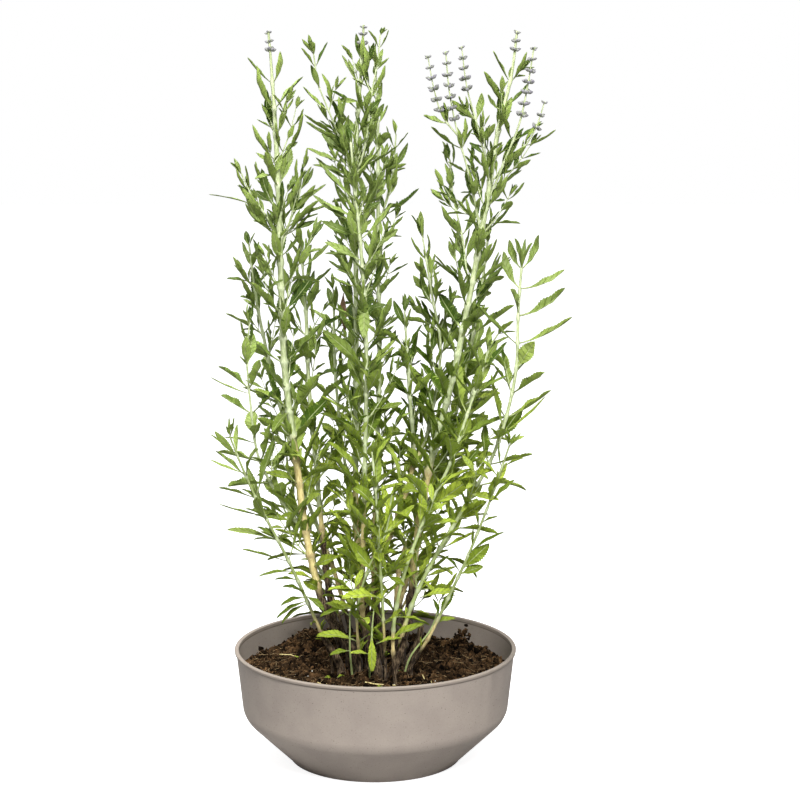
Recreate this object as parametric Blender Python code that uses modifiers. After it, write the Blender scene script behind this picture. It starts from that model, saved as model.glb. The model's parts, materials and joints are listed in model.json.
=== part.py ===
"""A bushy sage in a wide plastic bowl: woody stems that turn green and leafy, with spikes of flower buds.

Metres, +Z up. The origin is the centre of the pot's flat base.
The plant's front faces -Y. Routes of stems are given in millimetres.
"""
import math
import random

import bmesh
import bpy
from mathutils import Matrix, Vector, noise
from mathutils.bvhtree import BVHTree

MM = 0.001
NAME = "potted_russian_sage"
FIT_GAP = 0.3 * MM

# Pot: a low bowl with a thin lip, a steep wall, a round shoulder and a flat base.
POT_RADIUS = 150 * MM
POT_HEIGHT = 120 * MM
POT_WALL = 3 * MM
LIP_HEIGHT = 5 * MM
LIP_OUT = 1.6 * MM
LIP_EDGE = 1 * MM
LIP_DRAFT = 0.3 * MM
LIP_STEP = 0.6 * MM
WALL_SLOPE = math.radians(6.1)
WALL_DEPTH = 62 * MM
SHOULDER_RADIUS = 24 * MM
SHOULDER_END = math.radians(46)
FOOT_RADIUS = 92 * MM
FOOT_EDGE = 2 * MM
FLOOR_RADIUS = FOOT_RADIUS - 2 * POT_WALL
POT_SIDES = 36

# Soil: fills the bowl to a little below the lip, heaped round the crown and at the back left.
SOIL_LEVEL = 95 * MM
SOIL_RINGS = 6
CROWN_RISE = 8 * MM
CROWN_SPREAD = 62 * MM
CROWN_Y = 10 * MM
RIM_FALL = 12 * MM
LUMP_HEIGHT = 4.5 * MM
LUMP_SIZE = 26 * MM
CRUMB_HEIGHT = 2.3 * MM
CRUMB_SIZE = 10 * MM
# A heap is its place, its height and its spread.
HEAPS = (
    (-62 * MM, 92 * MM, 9 * MM, 34 * MM),
    (-104 * MM, 10 * MM, 5 * MM, 38 * MM),
    (78 * MM, 70 * MM, 7 * MM, 16 * MM),
    (96 * MM, -14 * MM, 4 * MM, 40 * MM),
)
HOLE_FLOOR = 80 * MM
HOLE_TOP = 135 * MM
HOLE_SLACK = 0.4 * MM
HOLE_SIDES = 8

# Leaves: lance-shaped, toothed, in crossed pairs up the stem.
BLADE_THICKNESS = 1.0 * MM
STALK_HALF_WIDTH = 0.5 * MM
ROOT_SUNK = 1.2 * MM
ROOT_OFF_AXIS = 0.25 * MM
LOW_HEIGHT = 150 * MM
HIGH_HEIGHT = 620 * MM
LOW_LEAF = 54 * MM
HIGH_LEAF = 39 * MM
LOW_ASPECT = 0.28
HIGH_ASPECT = 0.22
# The last leaves before a tip are shorter, closer together and more upright.
TIP_REACH = 80 * MM
LENGTH_AT_TIP = 0.5
GAP_AT_TIP = 0.75
RISE_AT_TIP = 0.55
# Angle from the stem, in degrees, low and high on the plant.
LOW_RISE = 54
HIGH_RISE = 42
RISE_SPREAD = 9
BROAD_FROM = 42 * MM
PAIR_GAP = 26 * MM
PAIR_STEP = 2
PAIR_TURN = 112.5
PAIR_TURN_SPREAD = 16
SHOOT_BARE = 14 * MM
LEAF_CLEARANCE = 0.8 * MM
TURNS = (0, 18, -18, 36, -36, 54, -54, 72, -72)
# A tooth is two edge points: (share of the length, share of the half width).
BROAD_TEETH = ((0.32, 0.84), (0.41, 0.66), (0.58, 1.0), (0.69, 0.62))
NARROW_TEETH = ((0.36, 0.96), (0.49, 0.72), (0.62, 0.88))
# A keel point under the rib: (share of the length, the edge point after which it takes over).
BROAD_RIBS = ((0.32, 0), (0.62, 2))
NARROW_RIBS = ((0.44, 0),)

# Buds: small rings of pointed buds along the flowering tips.
BUD_REACH = 5.5 * MM
BUD_VALLEY = 2.2 * MM
BUD_RISE = 2.6 * MM
BUDS_PER_RING = 4
RING_GAP = 13 * MM
RING_FROM_TIP = 3 * MM
LEAF_TO_RING = 4 * MM

# Stems: bent tubes, with more sides above a radius in millimetres.
CURVE_STEPS = 12
POINT_GAP = 40 * MM
THICK_STEM = 3.2
TAPER = 1.8

# Each stem from the soil: its route in millimetres, its radius at the root and the tip,
# and the height in millimetres where its leaves begin.
STEMS = {
    "left_main": {
        "route": [(-25, -12, 80), (-25, -12, 116), (-54, -14, 168), (-72, -22, 247), (-81, -26, 322),
                  (-92, -30, 416), (-95, -34, 496), (-98, -36, 635), (-103, -34, 729), (-106, -32, 768)],
        "radius": (5.0, 1.2), "leafy_from": 225, "rings": 2, "stretch": 1.1,
    },
    "left_back": {
        "route": [(-38, 16, 80), (-38, 16, 116), (-50, 18, 173), (-60, 24, 275), (-70, 30, 392),
                  (-73, 34, 473), (-78, 36, 546)],
        "radius": (3.6, 1.0), "leafy_from": 240,
    },
    "left_low": {
        "route": [(-45, -26, 80), (-45, -26, 112), (-66, -38, 168), (-90, -50, 227), (-119, -62, 289),
                  (-136, -68, 331), (-147, -70, 361)],
        "radius": (2.4, 0.9), "leafy_from": 175, "stretch": 1.35,
    },
    "centre_front": {
        "route": [(-8, -26, 80), (-8, -26, 112), (-14, -32, 179), (-12, -42, 246), (-10, -50, 333),
                  (-8, -56, 438), (-12, -60, 535), (-20, -61, 621), (-23, -60, 659)],
        "radius": (3.3, 1.0), "leafy_from": 165,
    },
    "centre_main": {
        "route": [(-15, 10, 80), (-15, 10, 116), (-17, 16, 176), (-21, 20, 275), (-20, 22, 393),
                  (-20, 24, 521), (-20, 22, 636), (-15, 20, 713), (-11, 16, 774)],
        "radius": (4.2, 1.2), "leafy_from": 215, "rings": 2,
    },
    "centre_back": {
        "route": [(-1, 34, 80), (-1, 34, 116), (-1, 42, 204), (5, 50, 301), (13, 56, 420),
                  (20, 58, 549), (14, 54, 665), (2, 50, 736)],
        "radius": (3.4, 1.0), "leafy_from": 200,
    },
    "dark_fork": {
        "route": [(5, -6, 80), (5, -6, 112), (2, 2, 169), (5, 8, 210), (24, 14, 260),
                  (40, 15, 318), (36, 12, 396), (31, 8, 478)],
        "radius": (3.6, 0.9), "leafy_from": 235,
    },
    "right_main": {
        "route": [(26, -4, 80), (26, -4, 112), (37, -6, 168), (44, -8, 238), (56, -9, 311),
                  (80, -10, 407), (97, -12, 491), (114, -14, 587), (126, -14, 666), (139, -12, 721),
                  (145, -10, 768)],
        "radius": (4.8, 1.2), "leafy_from": 230, "rings": 2,
    },
    "right_outer": {
        "route": [(22, -26, 80), (22, -26, 112), (40, -34, 178), (68, -42, 238), (98, -47, 291),
                  (126, -50, 348), (144, -50, 420), (147, -46, 490), (152, -42, 560)],
        "radius": (2.8, 1.1), "leafy_from": 190, "stretch": 1.55,
    },
    "right_back": {
        "route": [(20, 18, 80), (20, 18, 116), (26, 30, 200), (51, 40, 259), (78, 48, 306),
                  (103, 54, 383), (120, 58, 429), (131, 60, 448)],
        "radius": (2.9, 0.9), "leafy_from": 190,
    },
    "right_low": {
        "route": [(38, -40, 80), (38, -40, 108), (57, -56, 147), (80, -66, 199), (99, -72, 244),
                  (118, -78, 296), (137, -80, 353)],
        "radius": (2.2, 0.9), "leafy_from": 140,
    },
    "front_left": {
        "route": [(-16, -48, 80), (-16, -48, 112), (-18, -58, 173), (-7, -68, 221), (11, -76, 260),
                  (18, -82, 303)],
        "radius": (1.9, 0.9), "leafy_from": 135,
    },
    "front_right": {
        "route": [(11, -46, 80), (11, -46, 108), (8, -66, 187), (5, -86, 246), (2, -97, 305),
                  (-2, -100, 351)],
        "radius": (2.1, 0.9), "leafy_from": 135,
    },
    "back_left": {
        "route": [(-26, 44, 80), (-26, 44, 114), (-46, 56, 190), (-82, 70, 286), (-108, 82, 383),
                  (-127, 88, 470), (-136, 90, 540)],
        "radius": (3.0, 1.0), "leafy_from": 170,
    },
    "back_middle": {
        "route": [(-12, 58, 80), (-12, 58, 112), (-15, 76, 196), (-33, 94, 292), (-44, 104, 391),
                  (-46, 108, 489)],
        "radius": (2.6, 1.0), "leafy_from": 160,
    },
    "back_right": {
        "route": [(16, 44, 80), (16, 44, 114), (38, 60, 193), (67, 74, 285), (93, 84, 383),
                  (112, 88, 480), (122, 88, 560)],
        "radius": (3.0, 1.0), "leafy_from": 170,
    },
    "back_low_left": {
        "route": [(-34, 66, 80), (-34, 66, 110), (-54, 90, 165), (-88, 114, 215), (-115, 126, 268)],
        "radius": (2.0, 0.9), "leafy_from": 130,
    },
    "back_low_right": {
        "route": [(14, 70, 80), (14, 70, 110), (42, 92, 162), (80, 114, 210), (108, 126, 262)],
        "radius": (2.0, 0.9), "leafy_from": 130,
    },
}

# Shoots that branch off a stem and are grown into it.
SHOOTS = {
    "left_main": [
        {"route": [(-72, -22, 247), (-90, -30, 275), (-108, -40, 307), (-121, -46, 340), (-127, -50, 391),
                   (-130, -52, 440), (-127, -52, 474)], "radius": (1.9, 0.8)},
        {"route": [(-96, -35, 552), (-108, -44, 581), (-122, -52, 602), (-133, -56, 627)],
         "radius": (1.5, 0.8)},
        {"route": [(-96, -35, 545), (-86, -27, 576), (-78, -22, 596), (-73, -18, 630)],
         "radius": (1.4, 0.8)},
    ],
    "centre_main": [
        {"route": [(-20, 23, 600), (-31, 16, 645), (-48, 8, 689), (-58, 4, 716), (-62, 2, 745)],
         "radius": (1.5, 0.8)},
        {"route": [(-20, 23, 615), (-9, 14, 655), (-4, 10, 698), (3, 8, 736), (6, 6, 764)],
         "radius": (1.5, 0.8)},
    ],
    "centre_back": [
        {"route": [(20, 58, 535), (27, 62, 586), (31, 66, 633), (29, 66, 672)], "radius": (1.5, 0.8)},
    ],
    "dark_fork": [
        {"route": [(40, 15, 312), (56, 21, 351), (69, 27, 433), (60, 29, 493), (49, 31, 560)],
         "radius": (2.2, 0.8)},
    ],
    "right_main": [
        {"route": [(98, -12, 495), (91, 4, 555), (81, 12, 600), (78, 16, 636)], "radius": (1.5, 0.8)},
        {"route": [(110, -14, 562), (96, -26, 625), (85, -32, 664), (76, -36, 707), (72, -38, 748)],
         "radius": (1.6, 0.8), "rings": 4},
        {"route": [(86, -32, 662), (69, -40, 684), (60, -44, 712), (54, -46, 744)],
         "radius": (1.2, 0.8), "rings": 3},
        {"route": [(119, -14, 615), (105, -24, 672), (94, -28, 711), (88, -30, 753)],
         "radius": (1.4, 0.8), "rings": 3},
        {"route": [(115, -14, 592), (133, -22, 638), (147, -26, 675), (155, -28, 713), (161, -30, 752)],
         "radius": (1.6, 0.8), "rings": 4},
        {"route": [(134, -22, 640), (153, -30, 654), (164, -34, 673), (172, -36, 698)],
         "radius": (1.2, 0.8), "rings": 3},
    ],
}


def clear_scene():
    for thing in list(bpy.data.objects):
        bpy.data.objects.remove(thing, do_unlink=True)


def new_collection(name):
    group = bpy.data.collections.new(name)
    bpy.context.scene.collection.children.link(group)
    return group


def plain_material(name, colour, roughness):
    material = bpy.data.materials.new(name)
    material.use_nodes = True
    shader = material.node_tree.nodes["Principled BSDF"]
    shader.inputs["Base Color"].default_value = (*colour, 1)
    shader.inputs["Roughness"].default_value = roughness
    shader.inputs["Metallic"].default_value = 0
    material.diffuse_color = (*colour, 1)
    return material


def applied_mesh(thing):
    graph = bpy.context.evaluated_depsgraph_get()
    return bpy.data.meshes.new_from_object(thing.evaluated_get(graph))


def solid_mesh(thing):
    """The object's mesh with its modifiers applied and its loose caps welded."""
    mesh = applied_mesh(thing)
    shape = bmesh.new()
    shape.from_mesh(mesh)
    bmesh.ops.remove_doubles(shape, verts=shape.verts, dist=1e-6)
    shape.to_mesh(mesh)
    shape.free()
    return mesh


def turned(name, profile, group):
    """A closed solid turned from a profile whose outer side runs downwards."""
    mesh = bpy.data.meshes.new(name)
    edges = [(i, i + 1) for i in range(len(profile) - 1)]
    mesh.from_pydata([(r, 0, z) for r, z in profile], edges, [])
    thing = bpy.data.objects.new(name, mesh)
    group.objects.link(thing)
    screw = thing.modifiers.new("turn", "SCREW")
    screw.steps = POT_SIDES
    screw.render_steps = POT_SIDES
    screw.use_merge_vertices = True
    screw.merge_threshold = 1e-5
    thing.data = solid_mesh(thing)
    thing.modifiers.clear()
    return thing


def arc(centre, radius, first, last, count):
    """Points round a centre, from one angle to another, measured down from +X."""
    for step in range(count + 1):
        angle = first + (last - first) * step / count
        yield centre[0] + radius * math.cos(angle), centre[1] - radius * math.sin(angle)


def bowl_side(inset, shoulder_steps):
    """The bowl's side from the top of its wall to its foot, drawn in by inset."""
    top = Vector((POT_RADIUS - LIP_OUT, POT_HEIGHT))
    low = top + Vector((-math.tan(WALL_SLOPE), -1)) * WALL_DEPTH
    centre = low - Vector((math.cos(WALL_SLOPE), -math.sin(WALL_SLOPE))) * SHOULDER_RADIUS
    side = [tuple(top - Vector((inset, 0)))]
    side += list(arc(centre, SHOULDER_RADIUS - inset, WALL_SLOPE, SHOULDER_END, shoulder_steps))
    return side


def make_pot(group):
    outer = bowl_side(0, 4)
    inner = bowl_side(POT_WALL, 3)
    floor = POT_WALL
    edge = POT_HEIGHT - LIP_EDGE
    under_lip = POT_HEIGHT - LIP_HEIGHT
    wall_top = outer[0][0] - LIP_HEIGHT * math.tan(WALL_SLOPE)
    profile = [(0, floor), (FLOOR_RADIUS, floor)]
    profile += inner[:0:-1]
    profile += [(inner[0][0], edge), (inner[0][0] + LIP_DRAFT, POT_HEIGHT)]
    profile += [(POT_RADIUS - LIP_EDGE, POT_HEIGHT), (POT_RADIUS, edge)]
    profile += [(POT_RADIUS - LIP_DRAFT, under_lip), (wall_top, under_lip - LIP_STEP)]
    profile += outer[1:]
    profile += [(FOOT_RADIUS, FOOT_EDGE), (FOOT_RADIUS - FOOT_EDGE, 0), (0, 0)]
    pot = turned("pot", profile, group)
    pot.data.materials.append(plain_material("taupe_plastic", (0.38, 0.33, 0.29), 0.55))
    pot.data.shade_smooth()
    pot.data.set_sharp_from_angle(angle=math.radians(35))
    return pot


def soil_top(x, y):
    """Height of the soil: a rise round the crown, a few heaps, and crumbly lumps."""
    height = SOIL_LEVEL + CROWN_RISE * math.exp(-((math.hypot(x, y - CROWN_Y) / CROWN_SPREAD) ** 2))
    for heap_x, heap_y, rise, spread in HEAPS:
        height += rise * math.exp(-((math.hypot(x - heap_x, y - heap_y) / spread) ** 2))
    lump = LUMP_HEIGHT * noise.noise(Vector((x, y, 0)) / LUMP_SIZE)
    crumb = CRUMB_HEIGHT * noise.noise(Vector((x, y, POT_RADIUS)) / CRUMB_SIZE)
    return height + lump + crumb


def make_soil(group, holes):
    inner = bowl_side(POT_WALL + FIT_GAP, 3)
    wall = inner[0]
    low = inner[1]
    top_share = (POT_HEIGHT - SOIL_LEVEL) / (wall[1] - low[1])
    edge = wall[0] + (low[0] - wall[0]) * top_share
    profile = [(edge * ring / SOIL_RINGS, SOIL_LEVEL) for ring in range(SOIL_RINGS + 1)]
    profile += inner[1:]
    profile += [(FLOOR_RADIUS - FOOT_EDGE, POT_WALL + FIT_GAP), (0, POT_WALL + FIT_GAP)]
    soil = turned("soil", profile, group)
    for point in soil.data.vertices:
        x, y, z = point.co
        if z > SOIL_LEVEL - 1e-5:
            rim_share = min(1, (edge - math.hypot(x, y)) / RIM_FALL)
            point.co.z = SOIL_LEVEL + (soil_top(x, y) - SOIL_LEVEL) * rim_share
    soil.data.materials.append(plain_material("peat", (0.035, 0.02, 0.012), 0.95))
    cut = soil.modifiers.new("stem_holes", "BOOLEAN")
    cut.operand_type = "COLLECTION"
    cut.collection = holes
    return soil


def make_hole(name, stem, holes):
    """A plain round hole in the soil for one stem."""
    x, y, _ = stem["route"][0]
    # The flats of the hole, and not its corners, stand clear of the stem.
    radius = (stem["radius"][0] * MM + HOLE_SLACK) / math.cos(math.pi / HOLE_SIDES)
    floor = HOLE_FLOOR - FIT_GAP
    mesh = bpy.data.meshes.new(name + "_hole")
    shape = bmesh.new()
    bmesh.ops.create_cone(shape, cap_ends=True, segments=HOLE_SIDES, radius1=radius, radius2=radius,
                          depth=HOLE_TOP - floor)
    bmesh.ops.translate(shape, verts=shape.verts, vec=(x * MM, y * MM, (HOLE_TOP + floor) / 2))
    shape.to_mesh(mesh)
    shape.free()
    hole = bpy.data.objects.new(name + "_hole", mesh)
    hole.hide_render = True
    hole.display_type = "WIRE"
    holes.objects.link(hole)


def smooth_route(points, before=None):
    """A Catmull-Rom curve through the route's own points, as many short steps."""
    points = [Vector(p) * MM for p in points]
    before = Vector(before) * MM if before else 2 * points[0] - points[1]
    padded = [before] + points + [2 * points[-1] - points[-2]]
    fine = []
    for a, b, c, d in zip(padded, padded[1:], padded[2:], padded[3:]):
        for step in range(CURVE_STEPS):
            t = step / CURVE_STEPS
            fine.append(0.5 * (2 * b + (c - a) * t + (2 * a - 5 * b + 4 * c - d) * t * t
                               + (3 * b - a - 3 * c + d) * t ** 3))
    fine.append(points[-1])
    return fine


class Line:
    """A bent line of points, read by the distance along it."""

    def __init__(self, points):
        self.points = points
        self.at = [0]
        for a, b in zip(points, points[1:]):
            self.at.append(self.at[-1] + (b - a).length)
        self.length = self.at[-1]

    def place(self, distance):
        distance = max(0, min(self.length, distance))
        i = 0
        while i < len(self.at) - 2 and self.at[i + 1] < distance:
            i += 1
        share = (distance - self.at[i]) / (self.at[i + 1] - self.at[i])
        step = self.points[i + 1] - self.points[i]
        return self.points[i] + step * share, step.normalized()


class Route(Line):
    """A stem's centre line, as the short straight runs that its tube has.

    A stem from the soil is upright in its hole, up to its second point."""

    def __init__(self, points, rooted):
        start = [Vector(points[0]) * MM] if rooted else []
        smooth = Line(smooth_route(points[1:], points[0]) if rooted else smooth_route(points))
        steps = max(4, round(smooth.length / POINT_GAP))
        super().__init__(start + [smooth.place(smooth.length * i / steps)[0] for i in range(steps + 1)])

    def radius(self, distance, ends):
        root, tip = ends
        share = distance / self.length
        return MM * (tip + (root - tip) * (1 - share ** TAPER))


def sides_of(ends):
    """How many sides a stem's tube has."""
    return 8 if ends[0] > THICK_STEM else 4


def flat_radius(route, distance, ends):
    """From a stem's centre line to the middle of its tube's flat sides."""
    return route.radius(distance, ends) * math.cos(math.pi / sides_of(ends))


def tube(name, route, ends, group):
    """A tapering stem as a bevelled curve with filled ends, made a mesh."""
    curve = bpy.data.curves.new(name, "CURVE")
    curve.dimensions = "3D"
    curve.bevel_depth = 1
    curve.bevel_resolution = sides_of(ends) // 4 - 1
    curve.use_fill_caps = True
    line = curve.splines.new("POLY")
    line.points.add(len(route.points) - 1)
    for point, place, distance in zip(line.points, route.points, route.at):
        point.co = (*place, 1)
        point.radius = route.radius(distance, ends)
    helper = bpy.data.objects.new(name + "_curve", curve)
    group.objects.link(helper)
    mesh = solid_mesh(helper)
    bpy.data.objects.remove(helper)
    mesh.materials.clear()
    stem = bpy.data.objects.new(name, mesh)
    group.objects.link(stem)
    return stem


def blade(length, width, arch, broad, spare=0):
    """A toothed leaf along +X as points and faces: flat across its upper face, keeled along its rib below.

    The teeth are pairs of edge points, out and in, along both sides."""
    def along(share, lift):
        turn = arch * share
        reach = share if abs(arch) < 1e-3 else math.sin(turn) / arch
        fall = 0 if abs(arch) < 1e-3 else (1 - math.cos(turn)) / arch
        return reach * length + lift * math.sin(turn), -fall * length + lift * math.cos(turn)

    half = width / 2 + spare
    keel = BLADE_THICKNESS + spare
    teeth = BROAD_TEETH if broad else NARROW_TEETH
    ribs = BROAD_RIBS if broad else NARROW_RIBS
    points = []

    def add(share, side, lift):
        x, z = along(share, lift)
        points.append(Vector((x, side, z)))
        return len(points) - 1

    tip = add(1, 0, 0)
    keels = [add(0, 0, -keel / 2)] + [add(share, 0, -keel) for share, _ in ribs]
    left = [add(0, STALK_HALF_WIDTH, spare)] + [add(share, half * part, spare) for share, part in teeth]
    right = [add(0, -STALK_HALF_WIDTH, spare)] + [add(share, -half * part, spare) for share, part in teeth]
    faces = [(left[0], keels[0], right[0]), (left[-1], right[-1], tip)]
    for i in range(len(teeth)):
        faces.append((left[i], right[i], right[i + 1], left[i + 1]))
    below = 0
    for i in range(len(left)):
        ahead = left[i + 1] if i + 1 < len(left) else tip
        ahead_right = right[i + 1] if i + 1 < len(right) else tip
        if i == 0 or (below < len(ribs) and i == ribs[below][1]):
            below += 1
            faces.append((left[i], keels[below], keels[below - 1]))
            faces.append((right[i], keels[below - 1], keels[below]))
        faces.append((left[i], ahead, keels[below]))
        faces.append((right[i], keels[below], ahead_right))
    return points, faces


def leaf_frame(root, stem_way, flat, turn, rise, roll):
    """Where a leaf sits, sunk into its stem: X out along it, Z up from its upper face."""
    across = (Vector((1, 0, 0)) - stem_way * stem_way.x).normalized()
    out = Matrix.Rotation(turn, 3, stem_way) @ across
    root = root + out * max(ROOT_OFF_AXIS, flat - ROOT_SUNK)
    way = math.cos(rise) * stem_way + math.sin(rise) * out
    up = (stem_way - stem_way.dot(way) * way).normalized()
    side = up.cross(way)
    frame = Matrix((way, side, up)).transposed() @ Matrix.Rotation(roll, 3, "X")
    return Matrix.Translation(root) @ frame.to_4x4()


def mixed(first, last, share):
    return first + (last - first) * share


def pair_of_leaves(name, number, route, distance, stretch):
    """The two opposite leaves of one stem node: their sizes and how they stand."""
    draw = random.Random(f"{name} {number}")
    root, _ = route.place(distance)
    high = min(1, max(0, (root.z - LOW_HEIGHT) / (HIGH_HEIGHT - LOW_HEIGHT)))
    near_tip = min(1, (route.length - distance) / TIP_REACH)
    length = stretch * mixed(LOW_LEAF, HIGH_LEAF, high) * mixed(LENGTH_AT_TIP, 1, near_tip)
    aspect = mixed(LOW_ASPECT, HIGH_ASPECT, high)
    rise = mixed(LOW_RISE, HIGH_RISE, high) * mixed(RISE_AT_TIP, 1, near_tip)
    turn = math.radians(PAIR_TURN * number + draw.uniform(-PAIR_TURN_SPREAD, PAIR_TURN_SPREAD))
    leaves = []
    for side in (0, math.pi):
        size = length * draw.uniform(0.82, 1.12)
        leaves.append({
            "length": size,
            "width": size * aspect * draw.uniform(0.85, 1.1),
            "turn": turn + side + draw.uniform(-0.2, 0.2),
            "rise": math.radians(rise + draw.uniform(-RISE_SPREAD, RISE_SPREAD)),
            "arch": draw.uniform(-0.25, 0.95) * mixed(1.15, 0.75, high),
            "roll": draw.uniform(-0.45, 0.45),
            "broad": size > BROAD_FROM,
        })
    return leaves


def leafy_places(route, leafy_from):
    """Distances along a stem where pairs of leaves grow, closer together towards the tip."""
    distance = 0
    while route.place(distance)[0].z < leafy_from and distance < route.length:
        distance += 5 * MM
    number = 0
    while distance < route.length - 2 * MM:
        yield number, distance
        distance += PAIR_GAP * mixed(GAP_AT_TIP, 1, min(1, (route.length - distance) / TIP_REACH))
        number += 1


def tree_of(points, faces):
    return BVHTree.FromPolygons([tuple(p) for p in points], faces)


def tree_of_mesh(mesh):
    return tree_of([v.co for v in mesh.vertices], [tuple(f.vertices) for f in mesh.polygons])


def clear_leaf(leaf, root, way, flat, others):
    """The leaf's frame, turned round its stem until it touches no other stem or spray."""
    for turn in TURNS:
        turned_to = leaf["turn"] + math.radians(turn)
        frame = leaf_frame(root, way, flat, turned_to, leaf["rise"], leaf["roll"])
        points, faces = blade(leaf["length"], leaf["width"], leaf["arch"], leaf["broad"], LEAF_CLEARANCE)
        wide = tree_of([frame @ p for p in points], faces)
        if not any(wide.overlap(other) for other in others):
            return frame
    return None


def make_leaf(leaf, frame, group, material):
    points, faces = blade(leaf["length"], leaf["width"], leaf["arch"], leaf["broad"])
    mesh = bpy.data.meshes.new("leaf")
    mesh.from_pydata([frame @ p for p in points], [], faces)
    mesh.materials.append(material)
    thing = bpy.data.objects.new("leaf", mesh)
    group.objects.link(thing)
    return thing


def make_buds(name, route, rings, others, group, material):
    """Rings of pointed buds round the last stretch of a flowering tip, each ring one star."""
    draw = random.Random(name + " buds")
    for ring in range(rings):
        root, way = route.place(route.length - RING_FROM_TIP - ring * RING_GAP)
        size = draw.uniform(0.85, 1.1) * (0.75 + 0.25 * min(1, ring / 2))
        frame = Matrix.Translation(root) @ way.to_track_quat("Z", "X").to_matrix().to_4x4()
        first = draw.uniform(0, math.pi)
        mesh = bpy.data.meshes.new("bud_ring")
        star = bmesh.new()
        above = star.verts.new((0, 0, BUD_RISE * 0.4))
        below = star.verts.new((0, 0, -BUD_RISE * 0.7))
        rim = []
        for corner in range(2 * BUDS_PER_RING):
            angle = first + math.pi * corner / BUDS_PER_RING
            reach, lift = (BUD_REACH * size, BUD_RISE) if corner % 2 else (BUD_VALLEY, 0)
            rim.append(star.verts.new((reach * math.cos(angle), reach * math.sin(angle), lift)))
        for here, ahead in zip(rim, rim[1:] + rim[:1]):
            star.faces.new((above, here, ahead))
            star.faces.new((below, ahead, here))
        star.transform(frame)
        star.to_mesh(mesh)
        star.free()
        if any(tree_of_mesh(mesh).overlap(other) for other in others):
            bpy.data.meshes.remove(mesh)
            continue
        mesh.materials.append(material)
        group.objects.link(bpy.data.objects.new("bud_ring", mesh))


def fuse(stem, pieces):
    """Joins a stem and everything that grows from it into one solid."""
    union = stem.modifiers.new("grown_together", "BOOLEAN")
    union.operation = "UNION"
    union.operand_type = "COLLECTION"
    union.collection = pieces
    union.material_mode = "TRANSFER"
    stem.data = applied_mesh(stem)
    stem.modifiers.clear()
    for piece in list(pieces.objects):
        bpy.data.objects.remove(piece)


def bare_stems(group, bark):
    """Every stem with its shoots, still without leaves, and the routes of both."""
    sprays = {}
    for name, stem in STEMS.items():
        route = Route(stem["route"], True)
        body = tube("spray_" + name, route, stem["radius"], group)
        body.data.materials.append(bark)
        shoots = []
        for number, shoot in enumerate(SHOOTS.get(name, [])):
            shoot_route = Route(shoot["route"], False)
            branch = tube(f"shoot_{name}_{number}", shoot_route, shoot["radius"], group)
            branch.data.materials.append(bark)
            shoots.append((branch, shoot_route, shoot))
        sprays[name] = {"body": body, "route": route, "shoots": shoots}
    return sprays


def grow_spray(name, spray, others, pieces, leaf_green, bud_grey):
    """Leaves and buds for one stem and its shoots, clear of the other sprays, fused to them."""
    placed = 0
    stem = STEMS[name]
    stretch = stem.get("stretch", 1)
    runs = [(name, spray["route"], stem["radius"], stem["leafy_from"] * MM, stem.get("rings", 0))]
    for number, (branch, route, shoot) in enumerate(spray["shoots"]):
        for group in list(branch.users_collection):
            group.objects.unlink(branch)
        pieces.objects.link(branch)
        first = route.points[0].z + SHOOT_BARE
        runs.append((f"{name} {number}", route, shoot["radius"], first, shoot.get("rings", 0)))
    for run, route, ends, first, rings in runs:
        last = route.length - rings * RING_GAP - (LEAF_TO_RING if rings else 0)
        for number, distance in leafy_places(route, first):
            if number % PAIR_STEP or distance > last:
                continue
            root, way = route.place(distance)
            flat = flat_radius(route, distance, ends)
            for leaf in pair_of_leaves(run, number, route, distance, stretch):
                frame = clear_leaf(leaf, root, way, flat, others)
                if frame:
                    make_leaf(leaf, frame, pieces, leaf_green)
                    placed += 1
        make_buds(run, route, rings, others, pieces, bud_grey)
    fuse(spray["body"], pieces)
    return placed


def count_triangles(mesh):
    mesh.calc_loop_triangles()
    return len(mesh.loop_triangles)


def main():
    clear_scene()
    parts = new_collection(NAME)
    holes = new_collection("cutters")
    pieces = new_collection("pieces_to_fuse")
    bark = plain_material("stem_green", (0.42, 0.47, 0.26), 0.7)
    leaf_green = plain_material("leaf_green", (0.10, 0.19, 0.035), 0.6)
    bud_grey = plain_material("bud_lavender", (0.20, 0.18, 0.24), 0.8)

    make_pot(parts)
    for name, stem in STEMS.items():
        make_hole(name, stem, holes)
    make_soil(parts, holes)

    sprays = bare_stems(parts, bark)
    trees = {
        name: [tree_of_mesh(spray["body"].data)] + [tree_of_mesh(b.data) for b, _, _ in spray["shoots"]]
        for name, spray in sprays.items()
    }
    standing = [tree_of_mesh(bpy.data.objects["pot"].data), tree_of_mesh(bpy.data.objects["soil"].data)]
    for name, spray in sprays.items():
        others = standing + [tree for other, found in trees.items() if other != name for tree in found]
        placed = grow_spray(name, spray, others, pieces, leaf_green, bud_grey)
        trees[name] = [tree_of_mesh(spray["body"].data)]
        spray["body"].data.shade_smooth()
        spray["body"].data.set_sharp_from_angle(angle=math.radians(40))
        print(name, placed, "leaves", count_triangles(spray["body"].data), "triangles")
    bpy.data.collections.remove(pieces)


main()
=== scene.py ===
# %% [markdown]
# # A potted sage with silvery stems
# A bushy herb stands in a wide plastic bowl: eighteen stems rise from dark peat, woody and brown at the
# foot, silvery green above, with pairs of toothed leaves all the way up and grey lavender buds on a few
# tips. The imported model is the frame: it says where every stem, the soil and the pot are, at their real
# size. This script dresses each of its nodes with a finer piece that stands where the node does. One stem
# alone, `centre_back`, bends up to 17 mm nearer the middle than its solid, and four shoots at the right
# have one or two rings of buds more than theirs, because the picture shows them so.

import json
import math
import random

import bmesh
import bpy
from mathutils import Matrix, Vector, noise

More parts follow.
